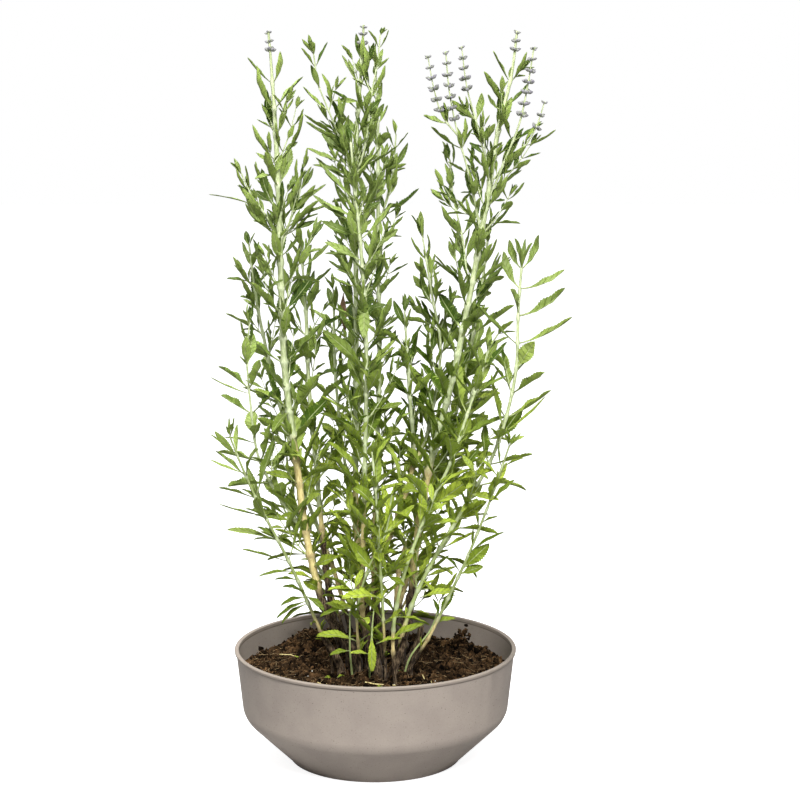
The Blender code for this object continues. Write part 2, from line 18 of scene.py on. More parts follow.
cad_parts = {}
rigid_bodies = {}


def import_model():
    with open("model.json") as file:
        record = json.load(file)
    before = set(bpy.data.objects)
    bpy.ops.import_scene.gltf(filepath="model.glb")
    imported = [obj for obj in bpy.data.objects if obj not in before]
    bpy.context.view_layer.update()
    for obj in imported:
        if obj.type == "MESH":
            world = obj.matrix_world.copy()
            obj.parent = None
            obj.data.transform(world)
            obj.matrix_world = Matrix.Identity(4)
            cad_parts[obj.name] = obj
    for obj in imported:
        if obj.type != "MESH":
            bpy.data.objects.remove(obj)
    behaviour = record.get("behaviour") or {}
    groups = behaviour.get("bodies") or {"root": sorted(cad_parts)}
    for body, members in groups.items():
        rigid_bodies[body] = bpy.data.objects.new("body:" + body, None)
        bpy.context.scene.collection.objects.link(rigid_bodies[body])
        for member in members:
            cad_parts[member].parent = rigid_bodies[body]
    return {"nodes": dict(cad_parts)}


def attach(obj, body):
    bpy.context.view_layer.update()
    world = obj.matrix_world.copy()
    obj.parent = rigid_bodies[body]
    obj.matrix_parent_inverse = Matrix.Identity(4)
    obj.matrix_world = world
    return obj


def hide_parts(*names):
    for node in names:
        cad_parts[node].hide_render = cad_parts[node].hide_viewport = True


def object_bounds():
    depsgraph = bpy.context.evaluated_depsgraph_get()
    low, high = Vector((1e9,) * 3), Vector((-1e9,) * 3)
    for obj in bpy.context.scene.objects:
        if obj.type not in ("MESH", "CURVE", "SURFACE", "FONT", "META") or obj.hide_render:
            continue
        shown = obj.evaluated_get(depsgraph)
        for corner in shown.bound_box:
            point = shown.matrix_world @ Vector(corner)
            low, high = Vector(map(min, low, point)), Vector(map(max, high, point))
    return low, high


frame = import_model()
CAD_BOX = [tuple(corner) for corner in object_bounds()]
MM = 0.001
print("nodes to dress:", len(frame["nodes"]), "box in metres:", CAD_BOX)

# %% [markdown]
# ## Sums written as Python
# Materials and geometry trees are both node trees, and most of their nodes do arithmetic. Writing each node
# by hand hides the formula, so one small class wraps a socket and overloads the operators: an expression
# such as `1 - edge * 2` adds its own Math nodes. Vectors go through Vector Math, because a Math node would
# flatten them. Every other node comes from one method, which takes the node's type, its settings and its
# inputs.

# %% Links and graphs
VECTOR_TYPES = ("VECTOR", "RGBA", "ROTATION")


class Link:
    """One output socket, which adds the nodes of a sum when it is used in one."""

    def __init__(self, graph, socket):
        self.graph = graph
        self.socket = socket

    def is_vector(self):
        return self.socket.type in VECTOR_TYPES

    def combine(self, operation, first, second):
        vectors = [v for v in (first, second) if isinstance(v, Link) and v.is_vector()]
        if not vectors:
            return self.graph.maths(operation, first, second)
        if operation == "MULTIPLY" and len(vectors) == 1:
            return self.graph.scaled(vectors[0], second if vectors[0] is first else first)
        return self.graph.vectors(operation, first, second)

    def __add__(self, other):
        return self.combine("ADD", self, other)

    def __radd__(self, other):
        return self.combine("ADD", other, self)

    def __sub__(self, other):
        return self.combine("SUBTRACT", self, other)

    def __rsub__(self, other):
        return self.combine("SUBTRACT", other, self)

    def __mul__(self, other):
        return self.combine("MULTIPLY", self, other)

    def __rmul__(self, other):
        return self.combine("MULTIPLY", other, self)

    def __truediv__(self, other):
        return self.graph.maths("DIVIDE", self, other)


class Graph:
    """A node tree that is built by calls."""

    def __init__(self, tree):
        self.tree = tree

    def node(self, kind, settings=None, values=None, output=0):
        node = self.tree.nodes.new(kind)
        for name, value in (settings or {}).items():
            setattr(node, name, value)
        for key, value in (values or {}).items():
            socket = self.shown(node.inputs, key)
            if isinstance(value, Link):
                self.tree.links.new(value.socket, socket)
            else:
                socket.default_value = value
        return Link(self, self.shown(node.outputs, output))

    def shown(self, sockets, key):
        """A socket by its name, or by its place among those in use."""
        in_use = [s for s in sockets if s.enabled]
        return in_use[key] if isinstance(key, int) else next(s for s in in_use if s.name == key)

    def maths(self, operation, *values):
        return self.node("ShaderNodeMath", {"operation": operation}, dict(enumerate(values)))

    def vectors(self, operation, *values):
        return self.node("ShaderNodeVectorMath", {"operation": operation}, dict(enumerate(values)), "Vector")

    def scaled(self, vector, share):
        """A place or a colour times a number that can differ from spot to spot."""
        return self.node("ShaderNodeVectorMath", {"operation": "SCALE"}, {"Vector": vector, "Scale": share})

    def part(self, vector, letter):
        return self.node("ShaderNodeSeparateXYZ", {}, {"Vector": vector}, letter)

    def step(self, value, low, high):
        """0 below low and 1 above high, smooth between them."""
        return self.node("ShaderNodeMapRange", {"interpolation_type": "SMOOTHSTEP"},
                         {"Value": value, "From Min": low, "From Max": high})

    def mix(self, share, first, second):
        return self.node("ShaderNodeMix", {"data_type": "RGBA"}, {"Factor": share, "A": first, "B": second})

    def noise(self, place, size, detail=2.0, roughness=0.5):
        """Cloudy values from 0 to 1, with lumps of about the given size in metres."""
        return self.node("ShaderNodeTexNoise", {},
                         {"Vector": place, "Scale": 1 / size, "Detail": detail, "Roughness": roughness})

    def speckles(self, place, size):
        """The distance to the nearest of many scattered points, in units of their usual gap."""
        return self.node("ShaderNodeTexVoronoi", {}, {"Vector": place, "Scale": 1 / size})


print("helpers for node trees are ready")

# %% [markdown]
# ## Colours and shaders
# Every finish is a Principled shader with a few noises. Its colours were chosen as they read on a
# screen, and a shader works with linear light, so each is changed into that first.

# %% Materials in general
def srgb(red, green, blue):
    """A colour as it is read off a screen, from 0 to 255, as the linear colour that a shader takes."""
    parts = [value / 255 for value in (red, green, blue)]
    return (*(v / 12.92 if v < 0.0405 else ((v + 0.055) / 1.055) ** 2.4 for v in parts), 1)


def new_material(name):
    """A material with its Principled shader, and the graph to add to."""
    material = bpy.data.materials.new(name)
    material.use_nodes = True
    return material, Graph(material.node_tree), material.node_tree.nodes["Principled BSDF"]


def feed(graph, shader, **links):
    """Joins colours and numbers to the shader's sockets, named as in base_color."""
    for name, value in links.items():
        socket = shader.inputs[name.replace("_", " ").title().replace("Ior", "IOR")]
        if isinstance(value, Link):
            graph.tree.links.new(value.socket, socket)
        else:
            socket.default_value = value


def bumped(graph, height, depth, strength=1.0):
    """A surface that rises and falls by up to depth, in metres."""
    return graph.node("ShaderNodeBump", {}, {"Strength": strength, "Distance": depth, "Height": height})


def object_place(graph):
    return graph.node("ShaderNodeTexCoord", output="Object")


def attribute(graph, name):
    return graph.node("ShaderNodeAttribute", {"attribute_name": name}, output="Fac")


print("white reads as", srgb(255, 255, 255))

# %% [markdown]
# ## Meshes that carry numbers
# Most pieces start as plain lists of points. Each point can carry numbers of its own, such as a leaf's age,
# which modifiers and materials read later on.

# %% Meshes and objects in general
def linked(name, data, collection=None):
    """An object with this data, in a collection or else in the scene itself."""
    thing = bpy.data.objects.new(name, data)
    (bpy.context.scene.collection if collection is None else collection).objects.link(thing)
    return thing


def mesh_of(name, points, edges, faces):
    mesh = bpy.data.meshes.new(name)
    mesh.from_pydata(points, edges, faces)
    return mesh


def store(mesh, key, values, kind="FLOAT", domain="POINT"):
    """Values that a mesh carries under a name, one for each of its points, edges or faces."""
    layer = mesh.attributes.new(key, kind, domain)
    layer.data.foreach_set("vector" if kind == "FLOAT_VECTOR" else "value", values)


def applied(thing):
    """Puts the mesh that an object's modifiers make in the place of its own."""
    made = bpy.data.meshes.new_from_object(thing.evaluated_get(bpy.context.evaluated_depsgraph_get()))
    thing.modifiers.clear()
    thing.data = made
    return made


def ring_of(reach, height, count):
    """Points in a level ring round the upright axis."""
    turns = [2 * math.pi * place / count for place in range(count)]
    return [(reach * math.cos(turn), reach * math.sin(turn), height) for turn in turns]


def ringed_faces(rings, sectors, turned=False):
    """Faces of a closed shape: a point, then rings of points, then a last point. They can be turned over."""
    last = 1 + rings * sectors
    faces = []
    for sector in range(sectors):
        ahead = (sector + 1) % sectors
        faces.append((0, 1 + ahead, 1 + sector))
        for low in range(1, last - sectors, sectors):
            faces.append((low + sector, low + ahead, low + sectors + ahead, low + sectors + sector))
        faces.append((last - sectors + sector, last - sectors + ahead, last))
    return [(face[0], *face[:0:-1]) for face in faces] if turned else faces


print("a ring of three points:", ring_of(1, 0, 3))

# %% [markdown]
# ## The camera and the light
# The plant was photographed in a white studio, from a little above the rim with a long lens. The camera is
# placed from three things that can be measured: the rim's width, how far the rim opens up, and where its
# centre falls in the picture. Everything is lit by a white room, brightest at the back, and by two large
# soft lamps: one in front and one above.

# %% Camera, floor and lamps
CAMERA_PLACE = (0.0262, -2.3, 0.784)
CAMERA_TILT = math.radians(90 - 9.8)
LENS = 100.3
SENSOR = 36
FLOOR_SIZE = 14
SIDE_LIGHT = 0.045
TOP_LIGHT = 0.34
FRONT_LIGHT = 0.4
BACK_LIGHT = 1.2
TABLE_GLOW = 0.86
TABLE_BOUNCE = 0.4
TABLE_GREYS = ((0.62, 0.62, 0.62, 1), (0.64, 0.64, 0.64, 1))
WHITE = (1, 1, 1, 1)
# Each soft lamp has its place, its size in metres and its power in watts, and all of them face one point.
LAMPS = {"front_lamp": ((0.42, -2.3, 2.3), 0.8, 116), "top_lamp": ((-0.6, -0.2, 2.4), 0.9, 54)}
LAMP_TARGET = (0, 0, 0.4)


def make_camera():
    data = bpy.data.cameras.new("photo_camera")
    data.lens = LENS
    data.sensor_width = SENSOR
    data.sensor_fit = "HORIZONTAL"
    data.clip_end = 50
    camera = linked("photo_camera", data)
    camera.location = CAMERA_PLACE
    camera.rotation_euler = (CAMERA_TILT, 0, 0)
    bpy.context.scene.camera = camera


def make_lamp(name, place, size, power):
    data = bpy.data.lights.new(name, "AREA")
    data.size = size
    data.energy = power
    lamp = linked(name, data)
    lamp.location = place
    lamp.rotation_euler = (Vector(LAMP_TARGET) - Vector(place)).to_track_quat("-Z", "Y").to_euler()


def floor_material():
    """A white table that glows softly, so that it reads white and still shows the pot's shadow.

    What it throws back at the plant is dimmer, as from a table that is only just larger than the pot."""
    material, graph, shader = new_material("white_floor")
    grain = graph.noise(object_place(graph), 0.4)
    pale = graph.mix(grain, *TABLE_GREYS)
    feed(graph, shader, base_color=pale, roughness=0.9, emission_color=WHITE, emission_strength=TABLE_GLOW)
    dim = graph.node("ShaderNodeBsdfDiffuse", {}, {"Color": (TABLE_BOUNCE, TABLE_BOUNCE, TABLE_BOUNCE, 1)})
    seen = graph.node("ShaderNodeLightPath", output="Is Camera Ray")
    both = graph.node("ShaderNodeMixShader", {}, {0: seen, 1: dim, 2: Link(graph, shader.outputs["BSDF"])})
    graph.tree.links.new(both.socket, graph.tree.nodes["Material Output"].inputs["Surface"])
    return material


def make_room():
    """A white world and a white floor that run into each other."""
    world = bpy.data.worlds.new("white_room")
    world.use_nodes = True
    sky = Graph(world.node_tree)
    way = sky.node("ShaderNodeTexCoord", output="Generated")
    up = sky.maths("MAXIMUM", sky.part(way, "Z"), 0)
    along = sky.part(way, "Y")
    front = sky.maths("MAXIMUM", 0 - along, 0)
    back = sky.maths("MAXIMUM", along, 0)
    light = SIDE_LIGHT + TOP_LIGHT * up * up + FRONT_LIGHT * front * front + BACK_LIGHT * back * back
    seen = sky.node("ShaderNodeLightPath", output="Is Camera Ray")
    strength = light * (1 - seen) + seen
    background = world.node_tree.nodes["Background"]
    background.inputs["Color"].default_value = WHITE
    sky.tree.links.new(strength.socket, background.inputs["Strength"])
    bpy.context.scene.world = world
    mesh = bpy.data.meshes.new("studio_floor")
    shape = bmesh.new()
    bmesh.ops.create_grid(shape, x_segments=1, y_segments=1, size=FLOOR_SIZE / 2)
    shape.to_mesh(mesh)
    shape.free()
    floor = linked("studio_floor", mesh)
    mesh.materials.append(floor_material())


bpy.context.scene.view_settings.view_transform = "Standard"
make_camera()
make_room()
for name, lamp in LAMPS.items():
    make_lamp(name, *lamp)
print("camera at", CAMERA_PLACE, "lens", LENS, "mm")

# %% [markdown]
# ## The stems' routes
# Every stem starts upright in its hole in the soil and then leans, and each was followed in the
# picture, point by point, in millimetres. The frame's solids were made from the same points, so a finer
# stem lies where its solid does, all but `centre_back` and its shoot, which lie nearer the middle. `bark`
# says up to which heights a stem is dark and woody, and then tan, before it is green.

# %% Routes of the stems and of their shoots
DEFAULT_BARK = (132, 165)

STEMS = {
    "left_main": {
        "route": [(-25, -12, 80), (-25, -12, 116), (-54, -14, 168), (-72, -22, 247), (-81, -26, 322),
                  (-92, -30, 416), (-95, -34, 496), (-98, -36, 635), (-103, -34, 729), (-106, -32, 768)],
        "radius": (5.0, 1.2), "leafy_from": 225, "rings": 2, "stretch": 1.1, "bark": (185, 350),
    },
    "left_back": {
        "route": [(-38, 16, 80), (-38, 16, 116), (-50, 18, 173), (-60, 24, 275), (-70, 30, 392),
                  (-73, 34, 473), (-78, 36, 546)],
        "radius": (3.6, 1.0), "leafy_from": 240, "bark": (235, 262),
    },
    "left_low": {
        "route": [(-45, -26, 80), (-45, -26, 112), (-66, -38, 168), (-90, -50, 227), (-119, -62, 289),
                  (-136, -68, 331), (-147, -70, 361)],
        "radius": (2.4, 0.9), "leafy_from": 175, "stretch": 1.35,
    },
    "centre_front": {
        "route": [(-8, -26, 80), (-8, -26, 112), (-14, -32, 179), (-12, -42, 246), (-10, -50, 333),
                  (-8, -56, 438), (-12, -60, 535), (-20, -61, 621), (-23, -60, 659)],
        "radius": (3.3, 1.0), "leafy_from": 165, "bark": (150, 285),
    },
    "centre_main": {
        "route": [(-15, 10, 80), (-15, 10, 116), (-17, 16, 176), (-21, 20, 275), (-20, 22, 393),
                  (-20, 24, 521), (-20, 22, 636), (-15, 20, 713), (-11, 16, 774)],
        "radius": (4.2, 1.2), "leafy_from": 215, "rings": 2, "bark": (165, 300),
    },
    "centre_back": {
        "route": [(-1, 34, 80), (-1, 34, 116), (-2, 42, 204), (1, 50, 301), (4, 56, 420),
                  (3, 58, 549), (3, 54, 665), (0, 50, 736)],
        "radius": (3.4, 1.0), "leafy_from": 200, "bark": (160, 260),
    },
    "dark_fork": {
        "route": [(5, -6, 80), (5, -6, 112), (2, 2, 169), (5, 8, 210), (24, 14, 260),
                  (40, 15, 318), (36, 12, 396), (31, 8, 478)],
        "radius": (3.6, 0.9), "leafy_from": 235, "bark": (200, 330),
    },
    "right_main": {
        "route": [(26, -4, 80), (26, -4, 112), (37, -6, 168), (44, -8, 238), (56, -9, 311),
                  (80, -10, 407), (97, -12, 491), (114, -14, 587), (126, -14, 666), (139, -12, 721),
                  (145, -10, 768)],
        "radius": (4.8, 1.2), "leafy_from": 230, "rings": 2, "bark": (190, 320),
    },
    "right_outer": {
        "route": [(22, -26, 80), (22, -26, 112), (40, -34, 178), (68, -42, 238), (98, -47, 291),
                  (126, -50, 348), (144, -50, 420), (147, -46, 490), (152, -42, 560)],
        "radius": (2.8, 1.1), "leafy_from": 190, "stretch": 1.55, "bark": (130, 155), "bare_tip": 29,
    },
    "right_back": {
        "route": [(20, 18, 80), (20, 18, 116), (26, 30, 200), (51, 40, 259), (78, 48, 306),
                  (103, 54, 383), (120, 58, 429), (131, 60, 448)],
        "radius": (2.9, 0.9), "leafy_from": 190, "bark": (160, 230),
    },
    "right_low": {
        "route": [(38, -40, 80), (38, -40, 108), (57, -56, 147), (80, -66, 199), (99, -72, 244),
                  (118, -78, 296), (137, -80, 353)],
        "radius": (2.2, 0.9), "leafy_from": 140,
    },
    "front_left": {
        "route": [(-16, -48, 80), (-16, -48, 112), (-18, -58, 173), (-7, -68, 221), (11, -76, 260),
                  (18, -82, 303)],
        "radius": (1.9, 0.9), "leafy_from": 135,
    },
    "front_right": {
        "route": [(11, -46, 80), (11, -46, 108), (8, -66, 187), (5, -86, 246), (2, -97, 305),
                  (-2, -100, 351)],
        "radius": (2.1, 0.9), "leafy_from": 135,
    },
    "back_left": {
        "route": [(-26, 44, 80), (-26, 44, 114), (-46, 56, 190), (-82, 70, 286), (-108, 82, 383),
                  (-127, 88, 470), (-136, 90, 540)],
        "radius": (3.0, 1.0), "leafy_from": 170, "bark": (150, 220),
    },
    "back_middle": {
        "route": [(-12, 58, 80), (-12, 58, 112), (-15, 76, 196), (-33, 94, 292), (-44, 104, 391),
                  (-46, 108, 489)],
        "radius": (2.6, 1.0), "leafy_from": 160, "bark": (150, 220),
    },
    "back_right": {
        "route": [(16, 44, 80), (16, 44, 114), (38, 60, 193), (67, 74, 285), (93, 84, 383),
                  (112, 88, 480), (122, 88, 560)],
        "radius": (3.0, 1.0), "leafy_from": 170, "bark": (150, 220),
    },
    "back_low_left": {
        "route": [(-34, 66, 80), (-34, 66, 110), (-54, 90, 165), (-88, 114, 215), (-115, 126, 268)],
        "radius": (2.0, 0.9), "leafy_from": 130,
    },
    "back_low_right": {
        "route": [(14, 70, 80), (14, 70, 110), (42, 92, 162), (80, 114, 210), (108, 126, 262)],
        "radius": (2.0, 0.9), "leafy_from": 130,
    },
}

# Shoots that branch off a stem and are grown into it: their route, their radii and their rings of buds.
SHOOTS = {
    "left_main": [
        ([(-72, -22, 247), (-90, -30, 275), (-108, -40, 307), (-121, -46, 340), (-127, -50, 391),
                   (-130, -52, 440), (-127, -52, 474)], (1.9, 0.8), 0),
        ([(-96, -35, 552), (-108, -44, 581), (-122, -52, 602), (-133, -56, 627)], (1.5, 0.8), 0),
        ([(-96, -35, 545), (-86, -27, 576), (-78, -22, 596), (-73, -18, 630)], (1.4, 0.8), 0),
    ],
    "centre_main": [
        ([(-20, 23, 600), (-31, 16, 645), (-48, 8, 689), (-58, 4, 716), (-62, 2, 745)], (1.5, 0.8), 0),
        ([(-20, 23, 615), (-9, 14, 655), (-4, 10, 698), (3, 8, 736), (6, 6, 764)], (1.5, 0.8), 0),
    ],
    "centre_back": [
        ([(3, 58, 560), (12, 60, 592), (19, 62, 622), (22, 62, 660)], (1.5, 0.8), 0),
    ],
    "dark_fork": [
        ([(40, 15, 312), (56, 21, 351), (69, 27, 433), (60, 29, 493), (49, 31, 560)], (2.2, 0.8), 0),
    ],
    "right_main": [
        ([(98, -12, 495), (91, 4, 555), (81, 12, 600), (78, 16, 636)], (1.5, 0.8), 0),
        ([(110, -14, 562), (96, -26, 625), (85, -32, 664), (76, -36, 707), (72, -38, 748)], (1.6, 0.8), 6),
        ([(86, -32, 662), (69, -40, 684), (60, -44, 712), (54, -46, 744)], (1.2, 0.8), 5),
        ([(119, -14, 615), (105, -24, 672), (94, -28, 711), (88, -30, 753)], (1.4, 0.8), 4),
        ([(115, -14, 592), (133, -22, 638), (147, -26, 675), (155, -28, 713), (161, -30, 752)],
          (1.6, 0.8), 6),
        ([(134, -22, 640), (153, -30, 654), (164, -34, 673), (172, -36, 698)], (1.2, 0.8), 3),
    ],
}

print("stems:", len(STEMS), "shoots:", sum(len(found) for found in SHOOTS.values()))

# %% [markdown]
# ## Curves through the routes
# A stem bends smoothly, but its route is only a handful of points. A Catmull-Rom curve runs through all of
# them and needs no handles, as a Bezier curve would. The distance along it then tells where each thing on
# the stem sits. The frame's solids follow the same curve in short straight runs, so both are kept.

# %% Curves and the lines of stems
CURVE_STEPS = 12
POINT_GAP = 40 * MM


def mixed(first, last, share):
    return first + (last - first) * share


def eased(value, low, high):
    """0 below low and 1 above high, smooth between them."""
    share = min(1, max(0, (value - low) / (high - low)))
    return share * share * (3 - 2 * share)


def smooth_route(points, before=None):
    """A Catmull-Rom curve through the route's own points, as many short steps."""
    points = [Vector(p) * MM for p in points]
    before = Vector(before) * MM if before else 2 * points[0] - points[1]
    padded = [before] + points + [2 * points[-1] - points[-2]]
    fine = []
    for a, b, c, d in zip(padded, padded[1:], padded[2:], padded[3:]):
        for step in range(CURVE_STEPS):
            t = step / CURVE_STEPS
            fine.append(0.5 * (2 * b + (c - a) * t + (2 * a - 5 * b + 4 * c - d) * t * t
                               + (3 * b - a - 3 * c + d) * t ** 3))
    fine.append(points[-1])
    return fine


class Line:
    """A bent line of points, read by the distance along it."""

    def __init__(self, points):
        self.points = points
        self.at = [0]
        for a, b in zip(points, points[1:]):
            self.at.append(self.at[-1] + (b - a).length)
        self.length = self.at[-1]

    def place(self, distance):
        distance = max(0, min(self.length, distance))
        i = 0
        while i < len(self.at) - 2 and self.at[i + 1] < distance:
            i += 1
        share = (distance - self.at[i]) / (self.at[i + 1] - self.at[i])
        step = self.points[i + 1] - self.points[i]
        return self.points[i] + step * share, step.normalized()


class Route(Line):
    """A stem's centre line as the frame's short straight runs, with the smooth curve that they follow."""

    def __init__(self, points, rooted):
        start = [Vector(points[0]) * MM] if rooted else []
        smooth = Line(smooth_route(points[1:], points[0]) if rooted else smooth_route(points))
        steps = max(4, round(smooth.length / POINT_GAP))
        super().__init__(start + [smooth.place(smooth.length * i / steps)[0] for i in range(steps + 1)])
        self.curve = Line(start + smooth.points)

    def on_curve(self, distance):
        return self.curve.place(distance * self.curve.length / self.length)

    def radius(self, distance, ends):
        root, tip = ends
        share = min(1, distance / self.length)
        trunk = root * mixed(0.86, 0.52, min(1, share / 0.85))
        return MM * mixed(trunk, min(tip, trunk), eased(share, 0.8, 1))


sample = Route(STEMS["left_main"]["route"], True)
print("length of the first stem, in millimetres:", round(sample.length / MM))

# %% [markdown]
# ## Where the leaves grow
# This herb sets its leaves in opposite pairs, each pair turned about a quarter from the one below, and
# every leaf has a bud in its angle with the stem that soon grows a tuft or a side twig. So three rules make
# the whole bush: pairs up the stems, which are the frame's own rule with its own seeds, tufts in their
# angles, and twigs with smaller pairs. The frame's solids hold every second pair. Here all of them grow.

# %% Pairs of leaves by the frame's rule
LEAF_TO_RING = 4 * MM
RING_GAP = 13 * MM
ROOT_SUNK = 1.2 * MM
ROOT_OFF_AXIS = 0.25 * MM
LOW_HEIGHT = 150 * MM
HIGH_HEIGHT = 620 * MM
LOW_LEAF = 54 * MM
HIGH_LEAF = 39 * MM
LOW_ASPECT = 0.28
HIGH_ASPECT = 0.22
TIP_REACH = 80 * MM
LENGTH_AT_TIP = 0.5
GAP_AT_TIP = 0.75
RISE_AT_TIP = 0.55
LOW_RISE = 54
HIGH_RISE = 42
RISE_SPREAD = 9
# The kinds of blade: a small plain one, a narrow and a broad toothed one.
SMALL, NARROW, BROAD = 0, 1, 2
BROAD_FROM = 42 * MM
PAIR_GAP = 26 * MM
PAIR_TURN = 112.5
PAIR_TURN_SPREAD = 16
SHOOT_BARE = 14 * MM


def pair_of_leaves(name, number, route, distance, stretch):
    """The two opposite leaves of one stem node: their sizes and how they stand."""
    draw = random.Random(f"{name} {number}")
    root, _ = route.place(distance)
    high = min(1, max(0, (root.z - LOW_HEIGHT) / (HIGH_HEIGHT - LOW_HEIGHT)))
    near_tip = min(1, (route.length - distance) / TIP_REACH)
    length = stretch * mixed(LOW_LEAF, HIGH_LEAF, high) * mixed(LENGTH_AT_TIP, 1, near_tip)
    aspect = mixed(LOW_ASPECT, HIGH_ASPECT, high)
    rise = mixed(LOW_RISE, HIGH_RISE, high) * mixed(RISE_AT_TIP, 1, near_tip)
    turn = math.radians(PAIR_TURN * number + draw.uniform(-PAIR_TURN_SPREAD, PAIR_TURN_SPREAD))
    leaves = []
    for side in (0, math.pi):
        size = length * draw.uniform(0.82, 1.12)
        leaves.append({
            "length": size,
            "width": size * aspect * draw.uniform(0.85, 1.1),
            "turn": turn + side + draw.uniform(-0.2, 0.2),
            "rise": math.radians(rise + draw.uniform(-RISE_SPREAD, RISE_SPREAD)),
            "arch": draw.uniform(-0.25, 0.95) * mixed(1.15, 0.75, high),
            "roll": draw.uniform(-0.45, 0.45),
            "kind": BROAD if size > BROAD_FROM else NARROW,
        })
    return leaves


def leafy_places(route, leafy_from):
    """Distances along a stem where pairs of leaves grow, closer together towards the tip."""
    distance = 0
    while route.place(distance)[0].z < leafy_from and distance < route.length:
        distance += 5 * MM
    number = 0
    while distance < route.length - 2 * MM:
        yield number, distance
        distance += PAIR_GAP * mixed(GAP_AT_TIP, 1, min(1, (route.length - distance) / TIP_REACH))
        number += 1


print("one pair high up on the left:", pair_of_leaves("left_main", 10, sample, 0.5, 1))

# %% [markdown]
# ## How high the soil lies
# Peat in a pot isn't flat: it rises round the crown, has heaps, and is lumpy. The plant's small parts that
# touch it, and the soil itself, all read its height from one rule.

# %% Height of the soil
SOIL_LEVEL = 95 * MM
POT_RADIUS = 150 * MM
POT_HEIGHT = 120 * MM
CROWN_RISE = 8 * MM
CROWN_SPREAD = 62 * MM
CROWN_Y = 10 * MM
RIM_FALL = 12 * MM
LUMP_HEIGHT = 7 * MM
LUMP_SIZE = 26 * MM
GRAINS = ((5.5 * MM, 10 * MM), (4 * MM, 5 * MM), (2.2 * MM, 2.3 * MM))
GRAIN_TOP = 4 * MM
HEAPS = (
    (-66 * MM, 88 * MM, 15 * MM, 30 * MM),
    (-104 * MM, 10 * MM, 5 * MM, 38 * MM),
    (92 * MM, 62 * MM, 12 * MM, 13 * MM),
    (96 * MM, -14 * MM, 4 * MM, 40 * MM),
)


def grain_of_soil(x, y):
    """The small ups and downs of the peat: crumbs in three sizes."""
    grain = sum(height * noise.noise(Vector((x, y, height * 100)) / size) for height, size in GRAINS)
    return min(grain, GRAIN_TOP)


def soil_top(x, y):
    """Height of the soil: a rise round the crown, a few heaps, lumps, and the grain of the peat."""
    height = SOIL_LEVEL + CROWN_RISE * math.exp(-((math.hypot(x, y - CROWN_Y) / CROWN_SPREAD) ** 2))
    for heap_x, heap_y, rise, spread in HEAPS:
        height += rise * math.exp(-((math.hypot(x - heap_x, y - heap_y) / spread) ** 2))
    return height + LUMP_HEIGHT * noise.noise(Vector((x, y, 0)) / LUMP_SIZE) + grain_of_soil(x, y)


print("soil at the middle, in millimetres:", round(soil_top(0, 0) / MM, 1))

# %% [markdown]
# ## Leaves as numbers
# Before anything is meshed, the bush is only numbers: for each leaf its root, its three directions, its
# size and its bend, and for each twig a line. That keeps the rules readable, and the same list feeds the
# geometry trees. A leaf that would leave the frame's box, or run through the soil or the pot's wall, is
# shortened or left out.

# %% One leaf
BOX_MARGIN = 0.6 * MM
LOW = Vector(CAD_BOX[0]) + Vector((BOX_MARGIN,) * 3)
HIGH = Vector(CAD_BOX[1]) - Vector((BOX_MARGIN,) * 3)
SHORTEST_LEAF = 5 * MM
TESTED_SHARES = (0.4, 0.7, 1.0)
SHRINK_LENGTH = 0.86
SHRINK_WIDTH = 0.93
LEAST_ARCH = 0.03
YOUNG_BELOW = 240 * MM
OLD_ABOVE = 520 * MM
WIDER = 1.08


def leaf_point(leaf, share):
    """A point of a leaf's rib, bent by its arch."""
    angle = leaf["arch"] * share
    reach = math.sin(angle) / leaf["arch"] * leaf["length"]
    fall = (1 - math.cos(angle)) / leaf["arch"] * leaf["length"]
    return leaf["root"] + leaf["way"] * reach - leaf["up"] * fall


def stands_free(point, spare):
    """Whether a point is inside the box, above the soil, and off the pot's wall."""
    inside = all(low + spare < value < high - spare for low, value, high in zip(LOW, point, HIGH))
    reach = math.hypot(point.x, point.y)
    near_wall = point.z < POT_HEIGHT + 4 * MM and POT_RADIUS - 11 * MM < reach < POT_RADIUS + 4 * MM
    in_soil = point.z < SOIL_LEVEL + 30 * MM and reach < POT_RADIUS
    return inside and not near_wall and not in_soil


def kept(leaf):
    """The leaf, shortened until it is free, or nothing."""
    while leaf["length"] > SHORTEST_LEAF:
        if all(stands_free(leaf_point(leaf, share), leaf["half_width"] * 0.8) for share in TESTED_SHARES):
            return leaf
        leaf["length"] *= SHRINK_LENGTH
        leaf["half_width"] *= SHRINK_WIDTH
    return None


def across_of(way):
    """A direction square to a stem, the same for every turn round it."""
    return (Vector((1, 0, 0)) - way * way.x).normalized()


def make_leaf(root, stem_way, flat, turn, rise, roll, length, width, arch, kind, draw):
    """One leaf that grows from a stem: X out along it, Z up from its upper face."""
    out = Matrix.Rotation(turn, 3, stem_way) @ across_of(stem_way)
    way = math.cos(rise) * stem_way + math.sin(rise) * out
    up = (stem_way - stem_way.dot(way) * way).normalized()
    side = up.cross(way)
    frame_of = Matrix((way, side, up)).transposed() @ Matrix.Rotation(roll, 3, "X")
    if abs(arch) < LEAST_ARCH:
        arch = LEAST_ARCH
    young = 1 - eased(root.z + draw.uniform(-40, 40) * MM, YOUNG_BELOW, OLD_ABOVE)
    return kept({
        "root": root + out * max(ROOT_OFF_AXIS, flat - ROOT_SUNK * 0.4),
        "way": frame_of.col[0].copy(), "side": frame_of.col[1].copy(), "up": frame_of.col[2].copy(),
        "length": length, "half_width": WIDER * width / 2, "arch": arch, "twist": draw.gauss(0, 0.35),
        "kind": kind, "young": young, "tint": draw.random(), "dry": 0.0,
    })


print("leaves may reach from", tuple(LOW), "to", tuple(HIGH))

# %% [markdown]
# ## Tufts and twigs
# Most of the buds in the leaf angles have grown: some into a tuft of small leaves, some into a thin twig
# that turns upwards, with pairs of its own. Copies of one modelled twig would repeat in sight, so each is
# grown by one short rule with its own random draws.

